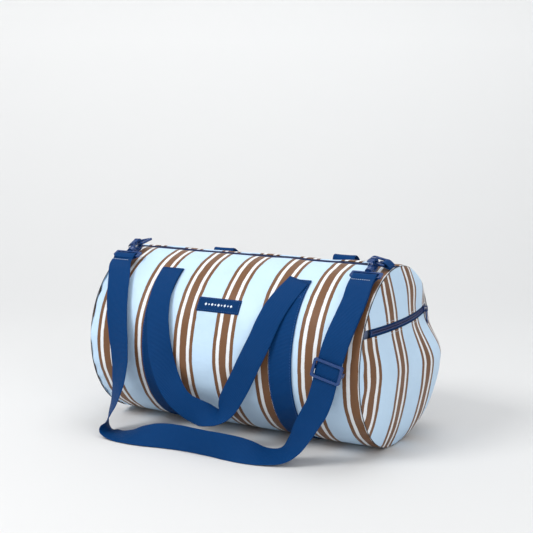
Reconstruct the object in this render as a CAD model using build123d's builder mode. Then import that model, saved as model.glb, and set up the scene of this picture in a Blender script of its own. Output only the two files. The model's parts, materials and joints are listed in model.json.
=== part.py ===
from build123d import *
from math import acos, asin, ceil, cos, degrees, hypot, radians, sin, sqrt, tan
import os

# Barrel weekender bag, in millimetres. +X runs along the bag, -Y is its front, +Z is up.
# The origin is on the ground under the middle of the bag, which stands on its two webbing bands.

# ---- driving dimensions -------------------------------------------------------------------------
BODY_LENGTH = 474.0  # between the two end seams
BODY_RADIUS = 140.0
FABRIC = 1.2  # laminated woven fabric, turned edges included
WEBBING = 38.0  # width of all carrying webbing
WEBBING_THICK = 1.5
FLAT_DEPTH = 4.0  # how much of the barrel's underside is pressed flat
GROUND_GAP = 0.1  # between the fabric and the bands that pass under it
LEFT_DOME = 20.0  # how far each end stands out beyond its seam
RIGHT_DOME = 20.0
INNER_WALL_DOME = 4.0

AXIS_Z = WEBBING_THICK + GROUND_GAP + BODY_RADIUS - FLAT_DEPTH
BODY_BOTTOM = AXIS_Z - BODY_RADIUS + FLAT_DEPTH
SEAM_X = BODY_LENGTH / 2
SEAM_GAP = 0.15

ZIP_SLOT = 10.0  # half the opening in the fabric over the main zip
ZIP_GROOVE = 0.8  # half the gap between the two coils
ZIP_TAPE_REACH = 14.0
ZIP_TAPE_THICK = 0.8
ZIP_TAPE_TOP = AXIS_Z + BODY_RADIUS - 2.1
ZIP_END_X = SEAM_X - 3.0
COIL_HEIGHT = 1.8
COIL_WIDTH = 2.4
SLIDER_LENGTH = 18.0
SLIDER_WIDTH = 11.0
SLIDER_X = 213.0
PULL_LENGTH = 26.0
PULL_WIDTH = 7.0
PULL_THICK = 1.6

POCKET_ZIP_RISE = 58.0  # the pocket zip above the bag's axis
POCKET_ZIP_HALF = 6.0  # half the opening in the fabric over the pocket zip

BAND_OFFSET = -3.0  # both carrying bands sit a little towards the left end
BAND_SPREAD = 113.5  # each band's centre from the middle of the pair
BAND_CLEAR = 0.3
ANCHOR_ANGLE = 33.0  # where a band ends and its handle begins, from the top of the barrel
HINGE_RADIUS = BODY_RADIUS + 3.6
HANDLE_ROLL = 1.4
HANDLE_RIDE = BODY_RADIUS + 3.4  # the handle's webbing over the band's

HOOK_X = 214.0  # each hook hangs where it has slid to along its ring's front leg
RING_ANGLE = 9.0  # the ring tabs are sewn a little in front of the top
RING_WIRE = 4.0
RING_INNER = 20.0
RING_BAR_X = SEAM_X - 10.0
RING_BAR_LIFT = 8.6
RING_FAR_LIFT = 13.6
HOOK_DROP = 23.3  # how far the hooks point below level, towards the front
HOOK_REACH = 38.0  # from the ring's wire to the bar that the strap loops over
HOOK_WIDTH = 7.0
STRAP_START = 46.0  # from the ring's wire to the end of the sewn fold

LABEL_WIDTH = 75.5
LABEL_HEIGHT = 23.5
LABEL_X = -7.3
LABEL_ANGLE = 57.0
LABEL_THICK = 0.7

RIGHT, LEFT = 1, -1
X_AXIS = (1, 0, 0)


# ---- helpers ------------------------------------------------------------------------------------
def around(radius, angle):
    """The Y and Z of a point round the bag's axis, its angle counted from the top to the front."""
    return -radius * sin(radians(angle)), AXIS_Z + radius * cos(radians(angle))


def cross_section(x):
    """The plane across the bag at x, its own X along +Y and its own Y up."""
    return Plane(origin=(x, 0, 0), x_dir=(0, 1, 0), z_dir=X_AXIS)


def save(piece, name):
    piece.part.label = name
    export_step(piece.part, f"parts/{name}.step")


def sphere_radius(dome):
    return (BODY_RADIUS**2 + dome**2) / (2 * dome)


def dome_x(dome, rise, inset=0.0):
    """How far out a domed end is at a distance from the axis, inside its surface by inset."""
    radius = sphere_radius(dome)
    return SEAM_X + dome - radius + sqrt((radius - inset) ** 2 - rise**2)


def unit(vector):
    return Vector(*vector).normalized()


os.makedirs("parts", exist_ok=True)


# ---- body fabric --------------------------------------------------------------------------------
with BuildPart() as body_panel:
    with BuildSketch(cross_section(-SEAM_X + SEAM_GAP)):
        with Locations((0, AXIS_Z)):
            Circle(BODY_RADIUS)
        with Locations((0, BODY_BOTTOM)):
            Rectangle(3 * BODY_RADIUS, 4 * BODY_RADIUS, align=(Align.CENTER, Align.MIN), mode=Mode.INTERSECT)
        with BuildSketch(mode=Mode.PRIVATE) as hollow:
            with Locations((0, AXIS_Z)):
                Circle(BODY_RADIUS - FABRIC)
            with Locations((0, BODY_BOTTOM + FABRIC)):
                Rectangle(
                    3 * BODY_RADIUS, 4 * BODY_RADIUS, align=(Align.CENTER, Align.MIN), mode=Mode.INTERSECT
                )
        add(hollow.sketch, mode=Mode.SUBTRACT)
        with Locations((0, AXIS_Z + BODY_RADIUS)):
            Rectangle(2 * ZIP_SLOT, BODY_RADIUS / 2, mode=Mode.SUBTRACT)
    extrude(amount=BODY_LENGTH - 2 * SEAM_GAP)
save(body_panel, "body_panel")


def dome_shell(dome, low=-2 * BODY_RADIUS, high=2 * BODY_RADIUS, thick=FABRIC):
    """A domed end of the right side, kept between two heights measured from the bag's axis."""
    with BuildPart() as shell:
        with BuildSketch(Plane.XZ):
            with BuildLine():
                outer_apex = (dome_x(dome, 0), AXIS_Z)
                outer_rim = (dome_x(dome, BODY_RADIUS), AXIS_Z + BODY_RADIUS)
                outer_mid = (dome_x(dome, BODY_RADIUS / 2), AXIS_Z + BODY_RADIUS / 2)
                inner_apex = (dome_x(dome, 0, thick), AXIS_Z)
                inner_rise = sqrt((sphere_radius(dome) - thick) ** 2 - (sphere_radius(dome) - dome) ** 2)
                inner_rim = (SEAM_X, AXIS_Z + inner_rise)
                inner_mid = (dome_x(dome, inner_rise / 2, thick), AXIS_Z + inner_rise / 2)
                ThreePointArc(outer_apex, outer_mid, outer_rim)
                Line(outer_rim, inner_rim)
                ThreePointArc(inner_rim, inner_mid, inner_apex)
                Line(inner_apex, outer_apex)
            make_face()
        revolve(axis=Axis((0, 0, AXIS_Z), X_AXIS))
        bottom = max(BODY_BOTTOM, AXIS_Z + low)
        with Locations((SEAM_X, 0, bottom)):
            Box(
                4 * dome,
                3 * BODY_RADIUS,
                AXIS_Z + high - bottom,
                align=(Align.CENTER, Align.CENTER, Align.MIN),
                mode=Mode.INTERSECT,
            )
    return shell


with BuildPart() as end_panel_left:
    add(mirror(dome_shell(LEFT_DOME).part, about=Plane.YZ))
save(end_panel_left, "end_panel_left")

end_wall_right = dome_shell(INNER_WALL_DOME)
save(end_wall_right, "end_wall_right")

pocket_panel_upper = dome_shell(RIGHT_DOME, low=POCKET_ZIP_RISE + POCKET_ZIP_HALF)
with BuildPart() as pocket_panel_upper_trimmed:
    add(pocket_panel_upper.part)
    add(end_wall_right.part, mode=Mode.SUBTRACT)
save(pocket_panel_upper_trimmed, "pocket_panel_upper")

pocket_panel_lower = dome_shell(RIGHT_DOME, high=POCKET_ZIP_RISE - POCKET_ZIP_HALF)
with BuildPart() as pocket_panel_lower_trimmed:
    add(pocket_panel_lower.part)
    add(end_wall_right.part, mode=Mode.SUBTRACT)
save(pocket_panel_lower_trimmed, "pocket_panel_lower")

# The raw edges of each end seam are bound inside the bag by a folded tape.
BINDING_WIDTH = 12.0
BINDING_THICK = 1.6
BINDING_GAP = 2.1
for side, name in ((LEFT, "seam_binding_left"), (RIGHT, "seam_binding_right")):
    with BuildPart() as seam_binding:
        with BuildSketch(cross_section(side * (SEAM_X - 1.0) - (BINDING_WIDTH if side == RIGHT else 0))):
            with Locations((0, AXIS_Z)):
                Circle(BODY_RADIUS - FABRIC - BINDING_GAP)
                Circle(BODY_RADIUS - FABRIC - BINDING_GAP - BINDING_THICK, mode=Mode.SUBTRACT)
            with Locations((0, BODY_BOTTOM + FABRIC + 0.3)):
                Rectangle(
                    3 * BODY_RADIUS, 4 * BODY_RADIUS, align=(Align.CENTER, Align.MIN), mode=Mode.INTERSECT
                )
        extrude(amount=BINDING_WIDTH)
    save(seam_binding, name)


# ---- main zip -----------------------------------------------------------------------------------
for side, name in ((-1, "front"), (1, "rear")):
    with BuildPart() as zip_tape:
        with Locations((0, side * (ZIP_GROOVE + ZIP_TAPE_REACH) / 2, ZIP_TAPE_TOP)):
            Box(
                2 * ZIP_END_X,
                ZIP_TAPE_REACH - ZIP_GROOVE,
                ZIP_TAPE_THICK,
                align=(Align.CENTER, Align.CENTER, Align.MAX),
            )
    save(zip_tape, f"zip_tape_{name}")
    with BuildPart() as zip_coil:
        with Locations((0, side * (ZIP_GROOVE + COIL_WIDTH / 2), ZIP_TAPE_TOP)):
            Box(2 * ZIP_END_X - 12, COIL_WIDTH, COIL_HEIGHT, align=(Align.CENTER, Align.CENTER, Align.MIN))
        fillet(zip_coil.edges().filter_by(Axis.X).group_by(Axis.Z)[-1], COIL_HEIGHT / 3)
    save(zip_coil, f"zip_coil_{name}")

with BuildPart() as zip_stops:
    with Locations(*[(side * (ZIP_END_X - 3), 0, ZIP_TAPE_TOP) for side in (LEFT, RIGHT)]):
        Box(4, 2 * ZIP_GROOVE + 2 * COIL_WIDTH, COIL_HEIGHT, align=(Align.CENTER, Align.CENTER, Align.MIN))
save(zip_stops, "zip_stops")


PLATE = 1.5
SLIDER_PLAY = 0.25
BRIDGE_SPAN = 8.6
BRIDGE_POST = 1.6
BRIDGE_OPENING = 3.2
BRIDGE_CAP = 1.2
PIVOT_SHIFT = 1.3  # the pull turns near the bridge's post on the side that it lies to


def zip_slider_body(plane, length, width, coil_height, bridge_along=True):
    """A slider over a zip: plate, post through the groove, plate under the tapes, and a bridge.

    The plane's own X runs along the zip, and its own Z points out of the bag from the tapes' face.
    """
    top = coil_height + SLIDER_PLAY
    under = -ZIP_TAPE_THICK - SLIDER_PLAY
    with BuildPart(plane) as slider:
        with Locations((0, 0, top)):
            Box(length, width, PLATE, align=(Align.CENTER, Align.CENTER, Align.MIN))
        with Locations((0, 0, under)):
            Box(length * 0.7, width * 0.8, PLATE * 0.7, align=(Align.CENTER, Align.CENTER, Align.MAX))
        with Locations((length * 0.2, 0, under)):
            Box(length * 0.3, 1.1, top - under, align=(Align.CENTER, Align.CENTER, Align.MIN))
        for flank in (-1, 1):
            with Locations((0, flank * (width / 2 - 0.5), SLIDER_PLAY)):
                Box(length * 0.8, 1.0, top - SLIDER_PLAY, align=(Align.CENTER, Align.CENTER, Align.MIN))
        for end in (-1, 1):
            reach = end * (BRIDGE_SPAN - BRIDGE_POST) / 2
            spot = (reach, 0, top + PLATE) if bridge_along else (0, reach, top + PLATE)
            with Locations(spot):
                post = (BRIDGE_POST, 2.4) if bridge_along else (2.4, BRIDGE_POST)
                Box(*post, BRIDGE_OPENING, align=(Align.CENTER, Align.CENTER, Align.MIN))
        with Locations((0, 0, top + PLATE + BRIDGE_OPENING)):
            cap = (BRIDGE_SPAN, 2.4) if bridge_along else (2.4, BRIDGE_SPAN)
            Box(*cap, BRIDGE_CAP, align=(Align.CENTER, Align.CENTER, Align.MIN))
    return slider


def pull_shape(plane):
    """A flat pull that lies along its plane's own X, turning on the rim of its eye at the origin."""
    with BuildPart() as pull:
        with BuildSketch(plane.offset(-PULL_THICK / 2)):
            with Locations((PULL_LENGTH / 2 - 0.9, 0)):
                RectangleRounded(PULL_LENGTH, PULL_WIDTH, 2.4)
            with Locations((2.6, 0)):
                Rectangle(5.2, 3.6, mode=Mode.SUBTRACT)
            with Locations((PULL_LENGTH - 6.0, 0)):
                SlotOverall(5.0, 2.6, mode=Mode.SUBTRACT)
        extrude(amount=PULL_THICK)
    return pull


zip_plane = Plane(origin=(SLIDER_X, 0, ZIP_TAPE_TOP))
zip_slider = zip_slider_body(zip_plane, SLIDER_LENGTH, SLIDER_WIDTH, COIL_HEIGHT)
save(zip_slider, "zip_slider")

PULL_PIVOT_X = SLIDER_X - PIVOT_SHIFT
PULL_PIVOT_Z = ZIP_TAPE_TOP + COIL_HEIGHT + SLIDER_PLAY + PLATE + BRIDGE_OPENING / 2
zip_pull = pull_shape(Plane(origin=(PULL_PIVOT_X, 0, PULL_PIVOT_Z), x_dir=(-1, 0, 0), z_dir=(0, 0, 1)))
save(zip_pull, "zip_pull")


# ---- end pocket zip, an arc about the upright line through the dome's centre ---------------------
POCKET_ZIP_Z = AXIS_Z + POCKET_ZIP_RISE
POCKET_CENTRE_X = SEAM_X + RIGHT_DOME - sphere_radius(RIGHT_DOME)
POCKET_ARC_RADIUS = sqrt(sphere_radius(RIGHT_DOME) ** 2 - POCKET_ZIP_RISE**2)
POCKET_HALF_ANGLE = degrees(asin(110.0 / POCKET_ARC_RADIUS))
POCKET_REST_ANGLE = POCKET_HALF_ANGLE - 1.5  # the slider is parked at the rear end
POCKET_TILT = degrees(asin(POCKET_ZIP_RISE / sphere_radius(RIGHT_DOME)))
POCKET_AXIS = Axis((POCKET_CENTRE_X, 0, 0), (0, 0, 1))


def pocket_plane(angle):
    """The upright plane through the pocket zip's centre line, at an angle towards the rear."""
    along = (cos(radians(angle)), sin(radians(angle)), 0)
    return Plane(origin=(POCKET_CENTRE_X, 0, 0), x_dir=along, z_dir=(along[1], -along[0], 0))


def pocket_surface(height, inset):
    """Distance from the pocket's upright centre line to a face inset from the dome's outside."""
    return sqrt((sphere_radius(RIGHT_DOME) - inset) ** 2 - (height - AXIS_Z) ** 2)


def pocket_strip(low, high, outer_inset, inner_inset, start, end):
    """A strip that follows the domed end between two heights and two angles."""
    with BuildPart() as strip:
        with BuildSketch(pocket_plane(start)):
            with BuildLine():
                Polyline(
                    (pocket_surface(low, outer_inset), low),
                    (pocket_surface(high, outer_inset), high),
                    (pocket_surface(high, inner_inset), high),
                    (pocket_surface(low, inner_inset), low),
                    close=True,
                )
            make_face()
        revolve(axis=POCKET_AXIS, revolution_arc=end - start)
    return strip


TAPE_SET_BACK = FABRIC + 0.2
COIL_ANGLE = POCKET_HALF_ANGLE - 0.6
for side, name in ((-1, "lower"), (1, "upper")):
    edges = sorted((POCKET_ZIP_Z + side * ZIP_GROOVE, POCKET_ZIP_Z + side * 9.0))
    tape_back = TAPE_SET_BACK + ZIP_TAPE_THICK
    tape = pocket_strip(*edges, TAPE_SET_BACK, tape_back, -POCKET_HALF_ANGLE, POCKET_HALF_ANGLE)
    save(tape, f"pocket_tape_{name}")
    edges = sorted((POCKET_ZIP_Z + side * ZIP_GROOVE, POCKET_ZIP_Z + side * (ZIP_GROOVE + 2.0)))
    coil = pocket_strip(*edges, 0.0, TAPE_SET_BACK, -COIL_ANGLE, COIL_ANGLE)
    save(coil, f"pocket_coil_{name}")

with BuildPart() as pocket_stops:
    for start in (-POCKET_HALF_ANGLE + 0.15, POCKET_HALF_ANGLE - 0.5):
        edges = (POCKET_ZIP_Z - 2.8, POCKET_ZIP_Z + 2.8)
        add(pocket_strip(*edges, 0.2, TAPE_SET_BACK - 0.05, start, start + 0.35).part)
save(pocket_stops, "pocket_stops")

POCKET_SLIDER_LENGTH = 14.0
pocket_out = (
    cos(radians(POCKET_TILT)) * cos(radians(POCKET_REST_ANGLE)),
    cos(radians(POCKET_TILT)) * sin(radians(POCKET_REST_ANGLE)),
    sin(radians(POCKET_TILT)),
)
pocket_along = (-sin(radians(POCKET_REST_ANGLE)), cos(radians(POCKET_REST_ANGLE)), 0)
pocket_face = pocket_surface(POCKET_ZIP_Z, TAPE_SET_BACK)
pocket_spot = (
    POCKET_CENTRE_X + pocket_face * cos(radians(POCKET_REST_ANGLE)),
    pocket_face * sin(radians(POCKET_REST_ANGLE)),
    POCKET_ZIP_Z,
)
pocket_slider_plane = Plane(origin=pocket_spot, x_dir=pocket_along, z_dir=pocket_out)
pocket_slider = zip_slider_body(pocket_slider_plane, POCKET_SLIDER_LENGTH, 9.0, TAPE_SET_BACK, False)
save(pocket_slider, "pocket_slider")

# The pocket's pull hangs down over the end panel from a bridge set across its slider.
pocket_down = Vector(*pocket_out).cross(Vector(*pocket_along))
pocket_down = pocket_down if pocket_down.Z < 0 else -pocket_down
POCKET_PULL_LIFT = TAPE_SET_BACK + SLIDER_PLAY + PLATE + BRIDGE_OPENING / 2
pocket_pivot = Vector(*pocket_spot) + Vector(*pocket_out) * POCKET_PULL_LIFT + pocket_down * PIVOT_SHIFT
pocket_pull = pull_shape(Plane(origin=pocket_pivot, x_dir=pocket_down, z_dir=pocket_out))
save(pocket_pull, "pocket_pull")


# ---- carrying webbing ---------------------------------------------------------------------------
def band(x):
    """Webbing sewn round the barrel, from the front anchor under the bag to the rear anchor."""
    inner = BODY_RADIUS + BAND_CLEAR
    with BuildPart() as sewn_band:
        with BuildSketch(cross_section(x - WEBBING / 2)):
            with Locations((0, AXIS_Z)):
                Circle(inner + WEBBING_THICK)
            Rectangle(3 * BODY_RADIUS, 4 * BODY_RADIUS, align=(Align.CENTER, Align.MIN), mode=Mode.INTERSECT)
            with BuildSketch(mode=Mode.PRIVATE) as core:
                with Locations((0, AXIS_Z)):
                    Circle(inner)
                with Locations((0, WEBBING_THICK)):
                    Rectangle(
                        3 * BODY_RADIUS, 4 * BODY_RADIUS, align=(Align.CENTER, Align.MIN), mode=Mode.INTERSECT
                    )
            add(core.sketch, mode=Mode.SUBTRACT)
            with BuildLine():
                Polyline(
                    (0, AXIS_Z),
                    around(2 * BODY_RADIUS, ANCHOR_ANGLE),
                    around(2 * BODY_RADIUS, -ANCHOR_ANGLE),
                    close=True,
                )
            make_face(mode=Mode.SUBTRACT)
        extrude(amount=WEBBING)
    return sewn_band


BAND_X = {"left": BAND_OFFSET - BAND_SPREAD, "right": BAND_OFFSET + BAND_SPREAD}
for name, x in BAND_X.items():
    save(band(x), f"webbing_band_{name}")


def path_along(route):
    """Straight runs joined by tangent arcs, each arc as large as its two runs allow."""
    points = [Vector(*p) for p in route]
    radii = []
    for before, corner, after in zip(points, points[1:], points[2:]):
        shorter = min((corner - before).length, (after - corner).length)
        turn = radians((corner - before).get_angle(after - corner))
        radii.append(0.45 * shorter / tan(turn / 2))
    return FilletPolyline(*points, radius=radii, mode=Mode.PRIVATE), radii


def stations(path, step=12.0):
    """Points and directions along a path: the ends of each run, and steps round each arc."""
    found = []
    for edge in path.edges():
        count = 1
        if edge.geom_type == GeomType.CIRCLE:
            count = max(1, ceil(degrees(edge.length / edge.radius) / step))
        for i in range(count):
            found.append((edge @ (i / count), edge % (i / count)))
    last = path.edges()[-1]
    found.append((last @ 1, last % 1))
    return found


def facing(point, route, widths):
    """The webbing's width direction at a point, blended between the route's two nearest points."""
    best = None
    for i, (a, b) in enumerate(zip(route, route[1:])):
        start, run = Vector(*a), Vector(*b) - Vector(*a)
        share = min(1, max(0, (point - start).dot(run) / run.dot(run)))
        away = (start + run * share - point).length
        if best is None or away < best[0]:
            best = (away, Vector(*widths[i]) * (1 - share) + Vector(*widths[i + 1]) * share)
    return best[1]


def webbing_along(route, widths, title, square_ends=False):
    """Flat webbing that follows a route, turning its width from point to point.

    Square ends are cut along the first and last width directions, whatever way the webbing leaves.
    """
    path, radii = path_along(route)
    spots = stations(path)
    with BuildPart() as strip:
        for i, (point, heading) in enumerate(spots):
            across = facing(point, route, widths)
            if square_ends and i in (0, len(spots) - 1):
                across = across.normalized()
                heading = (heading - across * heading.dot(across)).normalized()
            across = across - heading * across.dot(heading)
            with BuildSketch(Plane(origin=point, x_dir=across, z_dir=heading)):
                Rectangle(WEBBING, WEBBING_THICK)
        loft(ruled=True)
    ideal = path.length * WEBBING * WEBBING_THICK
    print(
        f"{title}: length {path.length:.0f}, volume {strip.part.volume:.0f} of {ideal:.0f}, "
        f"lowest {strip.part.bounding_box().min.Z:.2f}, arc radii {', '.join(f'{r:.0f}' for r in radii)}"
    )
    return strip


def on_barrel(x, radius, angle):
    return (x, *around(radius, angle))


FRONT_HANDLE_ROUTE = [
    on_barrel(BAND_X["left"], HINGE_RADIUS, ANCHOR_ANGLE),
    on_barrel(BAND_X["left"], HANDLE_RIDE + 1.4, 45),
    on_barrel(-113, HANDLE_RIDE + 2.6, 57),
    on_barrel(-107, HANDLE_RIDE + 3.8, 69),
    on_barrel(-100, HANDLE_RIDE + 6, 81),
    (-92, -152, 128),
    (-80, -153, 99),
    (-62, -154, 73),
    (-38, -154, 54),
    (-11, -154, 47),
    (14, -154, 55),
    (33, -153, 78),
    (50, -153, 110),
    (65, -152, 142),
    on_barrel(79, HANDLE_RIDE + 6, 76),
    on_barrel(88, HANDLE_RIDE + 4.2, 61),
    on_barrel(100, HANDLE_RIDE + 2.2, 46),
    on_barrel(BAND_X["right"], HINGE_RADIUS, ANCHOR_ANGLE),
]
FRONT_HANDLE_WIDTHS = [
    (1, 0, 0),
    (1, 0, 0),
    (1, 0, 0),
    (1, 0, 0),
    (1, 0, 0.1),
    (1, 0, 0.2),
    (0.9, 0, 0.4),
    (0.7, 0, 0.7),
    (0.35, 0, 0.95),
    (0, 0, 1),
    (-0.45, 0, 0.9),
    (-0.85, 0, 0.5),
    (-0.93, 0, 0.35),
    (-0.95, 0, 0.3),
    (-1, 0, 0.2),
    (-1, 0, 0.2),
    (-1, 0, 0.1),
    (-1, 0, 0),
]
# The rear handle first stands up off its anchors, then falls back over the rear of the bag.
REAR_HANDLE_ROUTE = [
    on_barrel(BAND_X["left"], HINGE_RADIUS, -ANCHOR_ANGLE),
    on_barrel(BAND_X["left"], HANDLE_RIDE + 11, -37),
    on_barrel(BAND_X["left"] + 1, HANDLE_RIDE + 15, -52),
    on_barrel(BAND_X["left"] + 5, HANDLE_RIDE + 13, -69),
    (-104, 154, 142),
    (-92, 154, 106),
    (-68, 154, 76),
    (-30, 154, 58),
    (10, 154, 56),
    (48, 154, 70),
    (74, 154, 98),
    (91, 154, 134),
    on_barrel(BAND_X["right"] - 6, HANDLE_RIDE + 13, -70),
    on_barrel(BAND_X["right"] - 1, HANDLE_RIDE + 15, -53),
    on_barrel(BAND_X["right"], HANDLE_RIDE + 11, -37),
    on_barrel(BAND_X["right"], HINGE_RADIUS, -ANCHOR_ANGLE),
]
REAR_HANDLE_WIDTHS = [
    (1, 0, 0),
    (1, 0, 0),
    (1, 0, 0),
    (1, 0, 0.1),
    (0.95, 0, 0.3),
    (0.85, 0, 0.5),
    (0.55, 0, 0.85),
    (0.15, 0, 1),
    (-0.15, 0, 1),
    (-0.55, 0, 0.85),
    (-0.85, 0, 0.5),
    (-0.95, 0, 0.3),
    (-1, 0, 0.1),
    (-1, 0, 0),
    (-1, 0, 0),
    (-1, 0, 0),
]


def handle(route, widths, title):
    """One carrying loop, with the rolled fold that it turns on at each anchor."""
    strip = webbing_along(route, widths, title, square_ends=True)
    with BuildPart() as loop:
        add(strip.part)
        for anchor in (route[0], route[-1]):
            with Locations(Plane(origin=anchor, z_dir=X_AXIS).location):
                Cylinder(HANDLE_ROLL, WEBBING)
    return loop


save(handle(FRONT_HANDLE_ROUTE, FRONT_HANDLE_WIDTHS, "front handle"), "handle_front")
save(handle(REAR_HANDLE_ROUTE, REAR_HANDLE_WIDTHS, "rear handle"), "handle_rear")


# ---- rings and their tabs -----------------------------------------------------------------------
tangent = unit((0, -cos(radians(RING_ANGLE)), -sin(radians(RING_ANGLE))))
outward = unit((0, -sin(radians(RING_ANGLE)), cos(radians(RING_ANGLE))))
RING_REACH = RING_INNER + RING_WIRE
RING_RISE = degrees(asin((RING_FAR_LIFT - RING_BAR_LIFT) / RING_REACH))
surface_spot = Vector(0, *around(BODY_RADIUS, RING_ANGLE))


def ring_point(side, from_bar, sideways, lift=0.0):
    """A point in a ring's own plane: away from its bar, along the bar, and off the plane."""
    inward = Vector(-side * cos(radians(RING_RISE)), 0, 0) + outward * sin(radians(RING_RISE))
    off = Vector(side * sin(radians(RING_RISE)), 0, 0) + outward * cos(radians(RING_RISE))
    bar = Vector(side * RING_BAR_X, 0, 0) + surface_spot + outward * RING_BAR_LIFT
    return bar + inward * from_bar + tangent * sideways + off * lift


def ring_plane(side):
    middle = ring_point(side, RING_REACH / 2, 0)
    inward = (ring_point(side, RING_REACH, 0) - ring_point(side, 0, 0)).normalized()
    return Plane(origin=middle, x_dir=inward, z_dir=inward.cross(tangent))


for side, name in ((LEFT, "left"), (RIGHT, "right")):
    with BuildPart() as ring:
        with BuildSketch(ring_plane(side)):
            RectangleRounded(RING_INNER + 2 * RING_WIRE, RING_INNER + 2 * RING_WIRE, 4.5)
            RectangleRounded(RING_INNER, RING_INNER, 1.5, mode=Mode.SUBTRACT)
        extrude(amount=RING_WIRE / 2, both=True)
        faces = ring.faces().filter_by(GeomType.PLANE).group_by(SortBy.AREA)[-1]
        fillet(faces.edges(), RING_WIRE * 0.45)
    save(ring, f"ring_{name}")

    # The tab is one strip of narrow webbing folded round the ring's bar and sewn into the seam.
    TAB_WIDTH = RING_INNER - 1.0
    tab_hole = RING_WIRE / 2 + 0.4
    tab_outer = tab_hole + WEBBING_THICK
    seam_run = SEAM_X - RING_BAR_X
    with BuildPart() as ring_tab:
        tab_plane = Plane(
            origin=ring_point(side, 0, -TAB_WIDTH / 2), x_dir=(side, 0, 0), z_dir=tangent
        )
        upward = 1 if tab_plane.y_dir.dot(outward) > 0 else -1
        root = -upward * (RING_BAR_LIFT - 1.6)
        with BuildSketch(tab_plane):
            Circle(tab_outer)
            with BuildLine():
                Polyline(
                    (0, tab_outer * upward),
                    (seam_run - 0.5, root + 3.2 * upward),
                    (seam_run - 0.5, root),
                    (0, -tab_outer * upward),
                    close=True,
                )
            make_face()
            Circle(tab_hole, mode=Mode.SUBTRACT)
        extrude(amount=TAB_WIDTH)
    save(ring_tab, f"ring_tab_{name}")


# ---- swivel snap hooks --------------------------------------------------------------------------
hook_down = unit((0, -cos(radians(HOOK_DROP)), -sin(radians(HOOK_DROP))))
hook_up = unit((0, -sin(radians(HOOK_DROP)), cos(radians(HOOK_DROP))))


def hook_origin(side):
    """Where the ring's front leg passes through the hook's eye."""
    leg_share = (RING_BAR_X - HOOK_X) / cos(radians(RING_RISE))
    return ring_point(side, leg_share, RING_INNER / 2 + RING_WIRE / 2)


def hook_plane(side, offset=0.0):
    """The plane of a hook's outline: its own X towards the strap, its own Y off the bag."""
    origin = hook_origin(side) + Vector(offset, 0, 0)
    return Plane(origin=origin, x_dir=hook_down, z_dir=hook_down.cross(hook_up))


def shank_plane(side, reach):
    """The plane across a hook's shank: its own X along the bag."""
    return Plane(origin=hook_origin(side) + hook_down * reach, x_dir=X_AXIS, z_dir=hook_down)


EYE_INNER = 5.5
EYE_OUTER = 10.0
EYE_NEAR, EYE_FAR = 2.5, 8.5  # centres of the eye's two round ends, from the ring's wire
GATE_PIVOT = (12.8, 7.75)
GATE_THICK = 3.5
GATE_TIP = 3.1
GATE_HEEL = 9.7
CHEEK_START = 10.9
PIN_RADIUS = 1.2
PIN_PLAY = 0.05
STEM_RADIUS = 2.5
COLLAR = (17.0, 25.0)
HEAD = (18.4, 20.6)

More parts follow.
